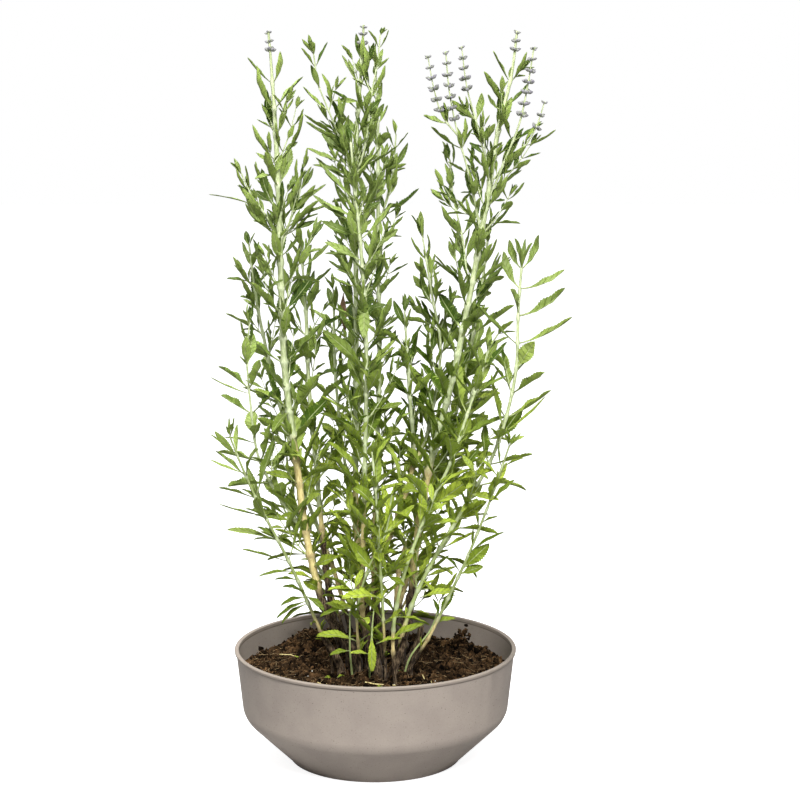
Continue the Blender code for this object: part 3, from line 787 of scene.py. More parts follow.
# %% Tufts and twigs
NARROW_FROM = 21 * MM
SMALL_LEAVES = (10 * MM, 25 * MM)
SMALL_ASPECT = 0.235
TWIG_LEAVES = (17 * MM, 33 * MM)
TWIG_GAP = 15 * MM
TWIG_STEP = 4 * MM
TWIG_LIFT = Vector((0, 0, 0.05))
TWIG_SWAY = 0.025


def small_leaf(root, way, flat, turn, rise, length, draw):
    width = length * SMALL_ASPECT * draw.uniform(0.8, 1.2)
    low = 1 - eased(root.z, LOW_HEIGHT, HIGH_HEIGHT)
    arch = draw.uniform(-0.9, 0.3) + 0.7 * low
    kind = NARROW if length > NARROW_FROM else SMALL
    return make_leaf(root, way, flat, turn, rise, draw.uniform(-0.5, 0.5), length, width, arch, kind, draw)


def grow_tuft(root, way, flat, turn, size, count, draw):
    """Small leaves that fan out of the angle between a leaf and its stem."""
    found = []
    for _ in range(count):
        aside = turn + draw.gauss(0, 0.6)
        rise = math.radians(draw.uniform(10, 46))
        length = size * draw.uniform(*SMALL_LEAVES)
        found.append(small_leaf(root, way, flat, aside, rise, length, draw))
    return found


def grow_twig(root, way, flat, turn, length, size, draw):
    """A thin side twig that bends upwards, its small pairs of leaves, and the tuft at its end."""
    out = Matrix.Rotation(turn, 3, way) @ across_of(way)
    rise = math.radians(draw.uniform(24, 48))
    direction = math.cos(rise) * way + math.sin(rise) * out
    points = [root + out * max(0, flat - 0.3 * MM)]
    steps = max(3, round(length / TWIG_STEP))
    for _ in range(steps):
        sway = Vector([draw.gauss(0, TWIG_SWAY) for _ in range(3)])
        direction = (direction + TWIG_LIFT + sway).normalized()
        points.append(points[-1] + direction * length / steps)
    if not all(stands_free(p, 2 * MM) for p in points[1:]):
        return [], None
    line = Line(points)
    leaves = []
    distance = min(0.45 * line.length, TWIG_GAP * draw.uniform(0.6, 1.1))
    number = 0
    while distance < line.length - TWIG_STEP:
        place, heading = line.place(distance)
        first = math.radians(90 * number) + draw.gauss(0, 0.3) + turn
        share = distance / line.length
        for side in (0, math.pi):
            leaf_length = size * draw.uniform(*TWIG_LEAVES) * mixed(1.1, 0.75, share)
            leaves.append(small_leaf(place, heading, 0.4 * MM, first + side,
                                     math.radians(draw.uniform(28, 62)), leaf_length, draw))
        distance += TWIG_GAP * draw.uniform(0.8, 1.2)
        number += 1
    place, heading = line.place(line.length)
    for side in range(4):
        leaf_length = size * draw.uniform(*TWIG_LEAVES) * (0.75 if side < 2 else 0.45)
        aside = turn + side * math.pi / 2 * 1.1 + (math.pi / 2 if side > 1 else 0)
        rise = math.radians(draw.uniform(12, 34))
        leaves.append(small_leaf(place, heading, 0, aside, rise, leaf_length, draw))
    return leaves, line


print("a twig has a pair of leaves about every", TWIG_GAP / MM, "mm")

# %% [markdown]
# ## Lines of stems and twigs
# A stem is no plain tube: it is thick and gnarled at the foot, swells at each pair of leaves, and thins
# towards its tip. Its line stores those numbers every few millimetres, with how woody and how fresh it is
# there, and a tree sweeps the stem's outline along it later.

# %% Lines with their numbers
STEM_STEP = 3.5 * MM
FRESH_BELOW = 190 * MM
FRESH_ABOVE = 330 * MM
FRESH_RADIUS = 3.0
NODE_SWELL = 0.55
NODE_REACH = 2.6 * MM
FLARE = 0.85
FLARE_HEIGHT = 42 * MM
SLENDER_ROOT = 2.8
THICK_ROOT = 4.6
TWIG_RADII = (0.75 * MM, 0.4 * MM)
# Young stems that are duller than the others, with darker leaves near the soil.
DULL_LOW = ("left_low", "right_low")
DULL_FRESH = 1.4


def stem_line(route, ends, bark, nodes, name):
    """A stem's smooth line: its thickness swells at each node, and its age tells bark from green."""
    seed = sum(ord(letter) for letter in name)
    reach = route.length - STEMS.get(name, {}).get("bare_tip", 0) * MM
    steps = math.ceil(reach / STEM_STEP)
    rows = []
    for step in range(steps + 1):
        distance = reach * step / steps
        place, _ = route.on_curve(distance)
        swell = sum(math.exp(-(((distance - node) / NODE_REACH) ** 2)) for node in nodes)
        woody = 1 - eased(place.z, bark[1] * MM - 30 * MM, bark[1] * MM + 30 * MM)
        dark = 1 - eased(place.z, bark[0] * MM - 25 * MM, bark[0] * MM + 35 * MM)
        rough = 1 + 0.12 * (woody + dark) * noise.noise(Vector((seed, 0, distance / (9 * MM))))
        flare = FLARE * dark * eased(ends[0], SLENDER_ROOT, THICK_ROOT)
        rough *= 1 + flare * math.exp(-max(0, place.z - SOIL_LEVEL) / FLARE_HEIGHT)
        fresh = (1 - eased(place.z, FRESH_BELOW, FRESH_ABOVE)) if ends[0] < FRESH_RADIUS else 0
        if name in DULL_LOW:
            fresh = DULL_FRESH
        thickness = route.radius(distance, ends) * (1 + NODE_SWELL * min(1, swell)) * rough
        rows.append({"root": place, "thickness": thickness, "age": woody + dark, "fresh": fresh,
                     "node": min(1, swell)})
    return rows


def twig_line(line, radii=TWIG_RADII, age=0, rough=0):
    """The same for a twig, a shoot or a stick, which is thin and has no nodes."""
    rows = []
    for place, at in zip(line.points, line.at):
        fresh = 1 - eased(place.z, FRESH_BELOW, FRESH_ABOVE)
        thickness = mixed(*radii, at / line.length) * (1 + rough * noise.noise(place / (6 * MM)))
        rows.append({"root": place, "thickness": thickness, "age": age, "fresh": fresh, "node": 0})
    return rows


print("a stem stores its numbers every", STEM_STEP / MM, "mm")

# %% [markdown]
# ## Leaves that stand out
# Some leaves are seen one by one: at the outline, low at both sides, on the outer stem at the right, and in
# front. A rule can't find their places, so each is listed, from where its root and its tip are in the
# picture. All the others can be left to the rule.

# %% Leaves listed one by one
# Leaves that stand out, listed one by one. Each has the height of its root on the stem, its tip and its
# width, all in millimetres, then its arch, and last, where it isn't 0.4, how far its face turns to the front.
# A negative arch bends the tip upwards.
HAND_SET = {
    "right_outer": (
        (529, (172, -48, 563), 10.5, -1.1), (529, (133, -42, 558), 9.5, -1.1),
        (529, (142, -52, 562), 8.5, 0.2), (529, (160, -54, 558), 8, 0.3), (529, (154, -36, 560), 5, -0.2),
        (529, (148, -58, 552), 5, 0.2), (509, (195, -52, 527), 10.5, -0.8),
        (509, (126, -44, 546), 11, -1.1), (481, (197, -50, 507), 16, -0.9), (484, (138, -58, 511), 14, 0.3),
        (453, (203, -50, 480), 11.5, -0.6), (452, (103, -62, 496), 8.5, -0.2),
        (428, (163, -62, 458), 17, -0.3, 1.5), (268, (116, -54, 290), 15, 0.2, 2),
        (258, (78, -58, 286), 8, 0.3), (283, (88, -60, 302), 8, 0.3), (295, (97, -60, 323), 6, 0.2),
        (360, (176, -55, 400), 4.5, -0.5), (366, (120, -62, 414), 12, -0.2),
    ),
    "left_main 0": ((402, (-168, -50, 419), 3.5, -0.4), (349, (-154, -52, 357), 4.5, 0.3)),
    "left_low": (
        (322, (-168, -66, 336), 4.5, -0.4), (345, (-167, -72, 364), 3.5, -0.2),
        (276, (-160, -66, 290), 5, -0.3), (184, (-98, -54, 180), 7, 0.7), (180, (-103, -52, 165), 7, 0.5),
        (186, (-84, -60, 200), 8, 0.6), (178, (-99, -44, 158), 6, 0.8), (214, (-121, -56, 211), 5.5, 0.4),
        (186, (-52, -60, 176), 8, 0.8), (204, (-104, -52, 207), 6, 0.4), (193, (-96, -52, 199), 6.5, 0.4),
    ),
    "left_main 1": ((593, (-167, -50, 606), 3.2, 0.3),),
    "left_main": (
        (381, (-124, -52, 407), 11, 0.4), (348, (-62, -64, 380), 14, -0.3),
        (317, (-50, -52, 383), 11, -0.2), (378, (-104, -66, 366), 10, 0.7),
        (300, (-110, -60, 322), 10, 0.5), (264, (-98, -66, 276), 8, 0.7),
        (186, (-74, -42, 203), 12, 0.6, 1.5), (212, (-38, -48, 230), 12, 0.3, 1.5),
        (196, (-91, -40, 210), 9, 0.5), (170, (-22, -56, 177), 9, 0.6, 1.2),
        (194, (-31, -50, 219), 9, 0.4, 1.5), (537, (-114, -48, 556), 8, -0.5),
        (541, (-75, -48, 563), 8, -0.5), (498, (-114, -48, 518), 8, -0.5),
    ),
    "left_main 2": (
        (593, (-49, -20, 614), 6.5, -0.3), (575, (-44, -20, 593), 8, 0.3), (608, (-64, -20, 632), 6, -0.3),
    ),
    "centre_main 0": (
        (655, (-71, 2, 676), 8, -0.4), (632, (-70, 2, 649), 8, -0.4), (618, (-64, 4, 632), 7, 0.2),
    ),
    "left_back": (
        (536, (-55, 30, 573), 12, -0.4), (539, (-81, 30, 570), 8, -0.4), (523, (-47, 24, 548), 9, -0.5),
        (529, (-89, 28, 552), 7, -0.4), (500, (-45, 22, 523), 9, -0.5),
    ),
    "centre_front": (
        (372, (44, -78, 312), 8, 1.7), (330, (19, -88, 369), 12.5, -0.2), (366, (-55, -72, 404), 7, 0.3),
        (334, (-31, -78, 366), 6, 0.6), (308, (-48, -64, 355), 12, 0.4),
        (428, (-52, -76, 472), 12, 0.2, 1.2), (420, (22, -80, 455), 7, 0.3),
        (475, (-48, -82, 500), 8.5, -0.2), (262, (-42, -78, 288), 9, 0.9), (285, (30, -84, 316), 10, 0.6),
        (575, (-62, -62, 606), 8, -0.4), (500, (16, -74, 536), 9, -0.4), (600, (-56, -64, 640), 8, -0.3),
        (560, (20, -66, 598), 9, -0.5), (625, (8, -66, 655), 7, -0.5), (583, (-52, -64, 599), 8, -0.5),
        (563, (-53, -64, 580), 9, -0.4, 1), (538, (-50, -64, 559), 9, 0.3, 1),
        (499, (-10, -80, 463), 12, 0.6, 1.5),
    ),
    "right_low": (
        (168, (60, -66, 190), 6, 0.3), (168, (82, -58, 196), 9, 0.2), (216, (112, -70, 225), 10, 0.5, 1.5),
        (221, (118, -72, 250), 14, 0.2, 1.6), (240, (133, -80, 264), 6, 0.3),
        (272, (126, -80, 280), 5, 0.3), (293, (143, -84, 319), 8, 0.1), (293, (124, -86, 322), 9, 0.2),
        (245, (101, -80, 268), 3.5, -0.3), (218, (72, -80, 238), 6, 0.4), (265, (100, -84, 290), 6, 0.3),
        (320, (103, -82, 344), 6.5, 0.2),
    ),
    "right_main": (
        (330, (75, -44, 364), 20, 0.3), (452, (113, -46, 492), 20, 0.2), (352, (42, -50, 394), 13, 0.4),
        (388, (62, -52, 430), 14, 0.3), (420, (122, -50, 436), 11, 0.9), (300, (30, -44, 338), 13, 0.5),
        (505, (60, -40, 545), 7, -0.3), (500, (140, -40, 540), 8, -0.3),
    ),
    "front_shoot": (
        (352, (62, -84, 384), 6, 0.2), (352, (108, -80, 372), 6.5, 0.5), (300, (25, -80, 322), 7, 0.9),
        (300, (98, -78, 330), 9, 0.6), (400, (80, -84, 430), 6, -0.3), (400, (136, -74, 425), 6, 0.3),
        (262, (16, -82, 288), 8, 0.8), (262, (84, -80, 276), 10, 0.8),
    ),
}
# Stems whose tip has listed leaves in place of its tuft.
HAND_SET_TIPS = ("right_outer",)
OLDER_LEFT = 0.8
LEFT_FROM = 60 * MM
LEFT_TO = 110 * MM


def aimed_leaf(root, tip, width, arch, draw, dry=0.0, facing=0.4):
    """A leaf from one place to another, in millimetres, with its upper face turned up and to the front."""
    root, tip = Vector(root) * MM, Vector(tip) * MM
    chord = tip - root
    side = chord.cross(Vector((0, -facing, 1))).normalized() * -1
    up = (Matrix.Rotation(arch / 2, 3, side) @ chord.normalized()).cross(side)
    if up.z < -0.3:
        side, up = -side, -up
    way = (chord.normalized() * math.cos(arch / 2) + up * math.sin(arch / 2)).normalized()
    up = way.cross(side) if way.cross(side).dot(up) > 0 else side.cross(way)
    side = up.cross(way)
    length = chord.length * (arch / 2) / math.sin(arch / 2)
    return {"root": root, "way": way, "side": side, "up": up, "length": length, "half_width": width * MM / 2,
            "arch": arch, "twist": draw.gauss(0, 0.3), "kind": BROAD if width > 7 else NARROW,
            "young": 1.0 - dry, "tint": draw.uniform(0.4, 1), "dry": dry}


def at_height(route, height):
    """The first place on a stem that is this high."""
    distance = 0
    while distance < route.length and route.on_curve(distance)[0].z < height:
        distance += MM
    return route.on_curve(distance)[0]


def hand_set_leaves(run, route):
    draw = random.Random(run + " hand-set")
    leaves = []
    for height, tip, width, arch, *facing in HAND_SET.get(run, ()):
        root = at_height(route, height * MM)
        leaf = aimed_leaf(root / MM, tip, width, arch, draw, 0.0, *facing)
        leaf["young"] = 1 - eased(root.z, YOUNG_BELOW, OLD_ABOVE)
        leaf["tint"] = draw.uniform(0.35, 0.95)
        if run in DULL_LOW:
            leaf["tint"] *= mixed(0.4, 1, eased(root.z, 180 * MM, 330 * MM))
        leaf["young"] *= 1 - OLDER_LEFT * eased(-root.x, LEFT_FROM, LEFT_TO)
        leaves.append(leaf)
    return leaves


print("leaves set by hand:", sum(len(rows) for rows in HAND_SET.values()))

# %% [markdown]
# ## Shade and width
# Leaves deep inside the bush are painted darker than those at its face, which is painted shade, and those low
# on a stem are slimmer. Both could be set leaf by leaf, but they only depend on where a leaf grows, so two
# small rules do it.

# %% Shade and width by place
SIDE_SHARE = 0.55
DEEP_WITHIN = 25 * MM
OPEN_FROM = 80 * MM
SHADE_TO = 440 * MM
SHADE_FROM = 270 * MM
LEAST_LOW_TINT = 0.4
DEEP_SHADE = 0.75
DIM_SHARE = 0.55
DIM_RIGHT = (20 * MM, 60 * MM)
DIM_FROM = (540 * MM, 590 * MM)
DIM_TO = (650 * MM, 720 * MM)
BROADER = 1.22
SLIM_LOW = 0.72
SLIM_BELOW = 235 * MM
BROAD_ABOVE = 320 * MM


def shaded(leaf):
    """A leaf deep inside the bush is painted a darker green than those around it, as painted shade.

    At the left the low leaves are older, and so less yellow. Some high up at the right are dimmer too."""
    leaf["young"] *= 1 - OLDER_LEFT * eased(-leaf["root"].x, LEFT_FROM, LEFT_TO)
    # Painted shade: a leaf near the bush's middle, between about 270 and 580 mm up, gets a darker tint.
    deep = 1 - eased(math.hypot(SIDE_SHARE * leaf["root"].x, leaf["root"].y), DEEP_WITHIN, OPEN_FROM)
    deep *= 1 - eased(leaf["root"].z, SHADE_TO, SHADE_TO + 140 * MM)
    deep *= eased(leaf["root"].z, SHADE_FROM, SHADE_FROM + 120 * MM)
    least = LEAST_LOW_TINT * (1 - eased(leaf["root"].z, SHADE_FROM, SHADE_FROM + 120 * MM))
    dim = eased(leaf["root"].x, *DIM_RIGHT) * eased(leaf["root"].z, *DIM_FROM)
    dim *= 1 - eased(leaf["root"].z, *DIM_TO)
    leaf["tint"] = mixed(least, 1, leaf["tint"]) * (1 - DEEP_SHADE * deep) * (1 - DIM_SHARE * dim)
    return leaf


def broader(kind, height):
    """How much wider a broad leaf is than its rule: most halfway up the bush, and slim near the soil."""
    return mixed(SLIM_LOW, BROADER, eased(height, SLIM_BELOW, BROAD_ABOVE)) if kind == BROAD else 1


print("width of a broad leaf near the soil and high up:", broader(BROAD, 0), broader(BROAD, 1))

# %% [markdown]
# ## Everything on one stem
# A stem and its shoots all grow alike: first the pairs of the frame's rule, then in each angle a twig, a
# tuft or nothing, by chance. Chance favours the front, where the light is, and the middle of the bush. Some
# stems have numbers of their own, because the picture shows them barer, shorter or slimmer than the rule
# does.

# %% Sprays
ARCH_SPREAD = 0.25
TUFT_CHANCE = 0.4
TWIG_CHANCE = 0.43
TWIG_LENGTHS = (18 * MM, 70 * MM)
TWIG_FROM = 45 * MM
TUFT_FROM = 16 * MM
BUSHY_LOW = 0.62
BUSHY_HIGH = 1.35
BARE_BELOW = 320 * MM
FULL_ABOVE = 560 * MM
THIN_FROM = 600 * MM
THIN_TO = 700 * MM
THIN_SHARE = 0.8
FRONT_GAIN = 0.9
SMALL_LOW = 1.12
SMALL_HIGH = 0.98
SMALL_AT_TIP = 0.6
LONGER_HIGH = 1.16
MORE_RISE = math.radians(10)
LIFT_HIGH = 0.95
LIFT_LOW = 0.1
CLEAR_OF_SOIL = 44 * MM
LOW_TUFT_GAP = 12 * MM
LOW_TUFT_CHANCE = 0.7
# Stems that sprout small leaves from near the soil.
LOW_TUFTS = ("centre_front", "front_left", "front_right", "right_outer", "right_low", "left_low", "dark_fork")
# How long the leaves of some stems and shoots are, against their rule.
SHORTER = {"right_low": 0.7, "right_outer": 0.66, "centre_back": 0.54, "left_main 0": 0.8,
           "right_main 1": 0.8, "right_main 2": 0.6, "right_main 3": 0.75}
# Between these heights, in millimetres, a stem's own rule holds. Beyond them it has only listed leaves.
OWN_LEAVES = {"right_outer": (0, 415), "right_low": (305, 1000), "left_low": (205, 1000)}
# How readily side twigs and tufts grow: the stems at the outside of the bush are the barest.
BUSHY = {"left_low": 0.2, "right_low": 0.2, "right_outer": 0.25, "front_left": 0.7, "front_right": 0.6,
         "centre_main": 1.8, "centre_back": 0.5, "left_main": 0.9, "right_main": 0.8, "dark_fork": 1.4,
         "left_back": 1.0, "centre_front": 1.2, "right_back": 1.6, "right_main 1": 0.3, "right_main 2": 0.25,
         "right_main 3": 0.3, "right_main 4": 0.4, "right_main 5": 0.4,
         "left_main 0": 0.25, "right_main 0": 0.35, "centre_back 0": 0.5}
# Up to which heights a shoot is woody and then tan, where that differs from its stem.
SHOOT_BARK = {"left_main 0": (100, 215)}
# How narrow the leaves are, against the usual: they are slimmest low down at the sides.
SLIM = {"centre_back": 0.85, "left_low": 0.55, "right_low": 0.6, "right_outer": 0.62}


def grow_run(run, route, ends, first, rings, bark, stretch, bushy, slim):
    """Everything on one stem or shoot: its leaves, its lines, and where its buds start."""
    draw = random.Random(run + " tufts")
    last = route.length - rings * RING_GAP - (LEAF_TO_RING if rings else 0)
    nodes = []
    leaves = []
    lines = []
    distance = CLEAR_OF_SOIL
    while distance < route.length and route.place(distance + 0.5 * PAIR_GAP)[0].z < first:
        nodes.append(distance)
        distance = CLEAR_OF_SOIL + len(nodes) * PAIR_GAP
    for number, distance in leafy_places(route, first):
        if distance > last:
            continue
        nodes.append(distance)
        root, way = route.on_curve(distance)
        flat = route.radius(distance, ends)
        to_tip = route.length - distance
        high = eased(root.z, LOW_HEIGHT, HIGH_HEIGHT)
        size = mixed(SMALL_LOW, SMALL_HIGH, high) * mixed(SMALL_AT_TIP, 1, min(1, to_tip / TIP_REACH))
        lowest, highest = OWN_LEAVES.get(run, (0, 1000))
        if not lowest * MM < root.z < highest * MM:
            continue
        for leaf in pair_of_leaves(run, number, route, distance, stretch):
            length = leaf["length"] * mixed(1, LONGER_HIGH, high) * SHORTER.get(run, 1)
            width = slim * leaf["width"] * broader(leaf["kind"], root.z)
            arch = leaf["arch"] - mixed(LIFT_LOW, LIFT_HIGH, high) + draw.gauss(0, ARCH_SPREAD)
            leaves.append(make_leaf(root, way, flat, leaf["turn"], leaf["rise"] + MORE_RISE * high,
                                    leaf["roll"], length, width, arch, leaf["kind"], draw))
            lit = 1 + FRONT_GAIN * max(0, -math.sin(leaf["turn"]))
            full = mixed(BUSHY_LOW, BUSHY_HIGH, eased(root.z, BARE_BELOW, FULL_ABOVE))
            full *= 1 - THIN_SHARE * eased(root.z, THIN_FROM, THIN_TO)
            chance = draw.random() / (bushy * lit * full)
            if chance < TWIG_CHANCE and to_tip > TWIG_FROM:
                length = draw.uniform(*TWIG_LENGTHS) * min(1, to_tip / (150 * MM))
                grown_leaves, line = grow_twig(root, way, flat, leaf["turn"], length, size, draw)
                leaves += grown_leaves
                if line:
                    lines.append(twig_line(line))
            elif chance < TWIG_CHANCE + TUFT_CHANCE and to_tip > TUFT_FROM:
                leaves += grow_tuft(root, way, flat, leaf["turn"], size, draw.randint(2, 4), draw)
    if run in LOW_TUFTS:
        distance = CLEAR_OF_SOIL
        while route.place(distance)[0].z < first:
            root, way = route.on_curve(distance)
            if draw.random() < LOW_TUFT_CHANCE:
                leaves += grow_tuft(root, way, route.radius(distance, ends), draw.uniform(0, 6), 0.8, 2, draw)
            distance += LOW_TUFT_GAP
    if not rings and run not in HAND_SET_TIPS:
        root, way = route.on_curve(route.length)
        leaves += grow_tuft(root, way, 0, draw.uniform(0, 6), 0.9, 6, draw)
    lines.append(stem_line(route, ends, bark, nodes, run))
    leaves = [shaded(leaf) for leaf in leaves if leaf]
    return leaves + hand_set_leaves(run, route), lines


def runs_of(name):
    """The stem and its shoots: name for the seeds, route, radii, where leaves start, and rings of buds."""
    stem = STEMS[name]
    yield name, Route(stem["route"], True), stem["radius"], stem["leafy_from"] * MM, stem.get("rings", 0)
    for number, (points, radii, rings) in enumerate(SHOOTS.get(name, ())):
        route = Route(points, False)
        yield f"{name} {number}", route, radii, route.points[0].z + SHOOT_BARE, rings


def grow_spray(name):
    stem = STEMS[name]
    leaves, lines, spikes = [], [], []
    for run, route, ends, first, rings in runs_of(name):
        bark = SHOOT_BARK.get(run, stem.get("bark", DEFAULT_BARK))
        run_leaves, run_lines = grow_run(run, route, ends, first, rings, bark,
                                         stem.get("stretch", 1), BUSHY.get(run, BUSHY.get(name, 1)),
                                         SLIM.get(name, 1))
        leaves += run_leaves
        lines += run_lines
        if rings:
            spikes.append((run, route, rings))
    return leaves, lines, spikes


SPRAYS = {name: grow_spray(name) for name in STEMS}
print("leaves:", sum(len(leaves) for leaves, lines, spikes in SPRAYS.values()))
print("lines:", sum(len(lines) for leaves, lines, spikes in SPRAYS.values()))

# %% [markdown]
# ## Low shoots, stumps and sticks
# At the foot stand the stumps of stems that were cut, a few young shoots, and one young stem that leans to
# the right in front. One dead leaf hangs in the bush, and bits of leaf and dry sticks lie on the peat. None
# of them is worth a solid of its own, so they are pieces of the scene alone.

# %% Small things at the foot
# Low shoots from the crown, and leaves on them that show in front of the soil: root and tip, in millimetres.
LOW_SHOOTS = (
    [(-6, -44, 98), (-5, -58, 124), (-3, -66, 154), (-1, -68, 178)],
    [(30, -38, 98), (38, -47, 124), (59, -50, 154), (68, -48, 184)],
    [(-24, -38, 98), (-26, -50, 128), (-26, -55, 158), (-26, -56, 172)],
)
LOW_SHOOT_RADII = (1.3 * MM, 0.7 * MM)
# A young stem that leans to the right in front of the others.
FRONT_SHOOT = [(22, -52, 86), (20, -56, 112), (19, -61, 154), (26, -63, 198), (37, -64, 236), (50, -64, 270),
               (63, -64, 301), (79, -64, 335), (91, -63, 371), (102, -62, 404), (110, -61, 429),
               (116, -60, 448)]
# Old cut stumps of the crown, in millimetres, and how thick they are at root and end.
STUMPS = (
    [(-34, -30, 88), (-37, -33, 108), (-46, -36, 128), (-58, -38, 144)],
    [(-18, -34, 88), (-17, -40, 108), (-20, -43, 124), (-25, -45, 136)],
    [(2, -36, 88), (3, -41, 106), (0, -44, 121), (-5, -46, 132)],
    [(17, -33, 88), (20, -38, 106), (27, -41, 124), (31, -42, 141)],
    [(33, -28, 88), (36, -31, 112), (44, -34, 132), (49, -35, 152)],
    [(-4, -16, 88), (-6, -19, 122), (-9, -20, 152), (-8, -21, 178)],
)
STUMP_RADII = (6.2 * MM, 3.2 * MM)
STICK_RADII = (0.7 * MM, 0.5 * MM)
LOW_LEAVES = (
    ((-3, -66, 154), (-3, -72, 112), 9, 0.5), ((1, -62, 140), (28, -64, 147), 8, 0.6),
    ((-24, -60, 178), (-58, -62, 170), 7.5, 0.7), ((21, -58, 168), (58, -60, 161), 7.5, 0.7),
    ((47, -56, 188), (84, -58, 196), 9, 0.5), ((-26, -50, 129), (-47, -60, 128), 7, 0.6),
    ((68, -48, 184), (86, -52, 214), 8, -0.5), ((66, -48, 182), (50, -54, 206), 8, 0.4),
    ((60, -50, 158), (84, -54, 166), 7, 0.7), ((-1, -68, 178), (-16, -72, 205), 8, 0.4),
    ((-1, -68, 178), (14, -70, 202), 8, 0.5), ((-26, -56, 168), (-50, -60, 184), 8, 0.6),
    ((-26, -56, 168), (-12, -66, 186), 7, 0.6), ((-5, -60, 128), (-26, -66, 132), 6, 0.6),
)
DEAD_LEAF = ((-31, -54, 506), (-27, -60, 466), 7, 1.5)
# Small green bits that fell on the soil, as x, y and direction, and dry sticks, as two ends.
FALLEN_BITS = ((-89, 12, 0.6), (-49, -43, 2.2), (-40, -47, 0.2), (25, -40, 1.4), (8, -79, 2.9),
               (-52, -40, 1.0))
STICKS = (((50, -36), (64, -79)), ((-10, -68), (22, -74)), ((-104, 31), (-84, 24)), ((-70, -52), (-50, -66)))


def grow_low_shoots():
    draw = random.Random(5)
    leaves = [aimed_leaf(*leaf, draw) for leaf in LOW_LEAVES] + [aimed_leaf(*DEAD_LEAF, draw, 1.0)]
    lines = []
    for points in LOW_SHOOTS:
        line = Line(smooth_route(points))
        lines.append(twig_line(line, LOW_SHOOT_RADII))
        place, heading = line.place(line.length)
        leaves += [leaf for leaf in grow_tuft(place, heading, 0, draw.uniform(0, 6), 0.8, 3, draw) if leaf]
    run_leaves, run_lines = grow_run("front_shoot", Route(FRONT_SHOOT, True), ends=(2.7, 1.0), first=235 * MM,
                                     rings=0, bark=(128, 150), stretch=1.15, bushy=0.8, slim=0.9)
    leaves += run_leaves
    lines += run_lines
    for x, y, turn in FALLEN_BITS:
        ends = [Vector((x + reach * math.cos(turn), y + reach * math.sin(turn), 0)) * MM for reach in (0, 8)]
        root, tip = [end + Vector((0, 0, soil_top(end.x, end.y) + 2 * MM)) for end in ends]
        leaves.append(aimed_leaf(root / MM, tip / MM, 4, 0.9, draw))
    for ends in STICKS:
        path = [Vector(ends[0]).lerp(Vector(ends[1]), share) * MM for share in (0, 0.3, 0.6, 1)]
        path = Line([Vector((p.x, p.y, soil_top(p.x, p.y) + 1.5 * MM)) for p in path])
        lines.append(twig_line(path, STICK_RADII, 1))
    for points in STUMPS:
        lines.append(twig_line(Line(smooth_route(points)), STUMP_RADII, 2, 0.35))
    return leaves, lines


LOW_SPRAY = grow_low_shoots()
print("leaves and lines at the foot:", len(LOW_SPRAY[0]), len(LOW_SPRAY[1]))

# %% [markdown]
# ## Three blades
# A real bush has thousands of leaves of the same few shapes. So three blades are modelled once, in numbers
# only: a broad toothed one, a narrow toothed one, and a small plain one for tufts. Each point stores how
# far along and across it lies, how high the fold lifts it and whether it is on the underside. The margin is
# one shared edge, so the blade is closed and thin, with its ridge under the rib as on the plant. The teeth
# point forwards.

# %% Blade shapes
FOLD = 0.5
WAVE = 0.15
WAVES = 16
STALK_WIDTH = 0.17
RIDGE_DEPTH = 0.02


def lance(share, stalk, fullness):
    """Half width of a lance-shaped leaf, as a share of its widest."""
    if share <= stalk:
        return STALK_WIDTH
    along = (share - stalk) / (1 - stalk)
    return max(STALK_WIDTH * (1 - along), math.sin(math.pi * along ** fullness) ** mixed(1.25, 0.7, along))


def blade_rows(teeth, stalk, first_tooth, depth, fullness):
    """Rows from the stalk to the tip: how far along, and how wide there."""
    rows = [(0, STALK_WIDTH), (stalk, STALK_WIDTH)]
    plain = [mixed(stalk, first_tooth, k / 2) for k in (1, 2)]
    rows += [(share, lance(share, stalk, fullness)) for share in plain]
    gap = (0.95 - first_tooth) / max(1, teeth)
    for tooth in range(teeth):
        peak = first_tooth + (tooth + 0.72) * gap
        valley = first_tooth + (tooth + 1) * gap
        rows.append((peak, lance(peak, stalk, fullness) * (1 + depth * 0.4)))
        rows.append((valley, lance(valley, stalk, fullness) * (1 - depth)))
    return rows


def blade_object(name, rows, collection):
    """A closed blade whose points carry share, across, lift, below and rim, and whose faces carry under."""
    points = []
    for share, half in rows:
        lift = (FOLD + WAVE * math.sin(WAVES * share)) * half
        points += [(share, half, lift, 0, 1), (share, 0, 0, 0, 0)]
        points += [(share, -half, lift, 0, -1), (share, 0, 0, 1, 0)]
    points.append((1, 0, 0, 0, 0))
    tip = len(points) - 1
    faces = []
    under = []
    for row in range(len(rows)):
        a, b, c, d = range(4 * row, 4 * row + 4)
        if row + 1 < len(rows):
            e, f, g, h = range(4 * row + 4, 4 * row + 8)
            faces += [(a, b, f, e), (b, c, g, f), (c, d, h, g), (d, a, e, h)]
        else:
            faces += [(a, b, tip), (b, c, tip), (c, d, tip), (d, a, tip)]
        under += [0, 0, 1, 1]
    faces.append((3, 2, 1, 0))
    under.append(0)
    mesh = mesh_of(name, [(p[0], p[1], p[2] - RIDGE_DEPTH * p[3]) for p in points], [], faces)
    for place, key in enumerate(("share", "across", "lift", "below", "rim")):
        store(mesh, key, [float(p[place]) for p in points])
    store(mesh, "under", [float(v) for v in under], domain="FACE")
    rims = [[points[v][4] for v in edge.vertices] for edge in mesh.edges]
    store(mesh, "sharp_edge", [first == second != 0 for first, second in rims], "BOOLEAN", "EDGE")
    linked(name, mesh, collection)
    return len(faces)


BLADES = bpy.data.collections.new("blades")
SMALL_ROWS = [(0, STALK_WIDTH), (0.13, 0.14), (0.32, 0.76), (0.5, 1.0), (0.7, 0.84), (0.87, 0.42)]
sizes = (
    blade_object("blade_0_small", SMALL_ROWS, BLADES),
    blade_object("blade_1_narrow", blade_rows(6, 0.1, 0.38, 0.06, 0.95), BLADES),
    blade_object("blade_2_broad", blade_rows(10, 0.1, 0.32, 0.12, 1.1), BLADES),
)
print("faces of the small, the narrow and the broad blade:", sizes)

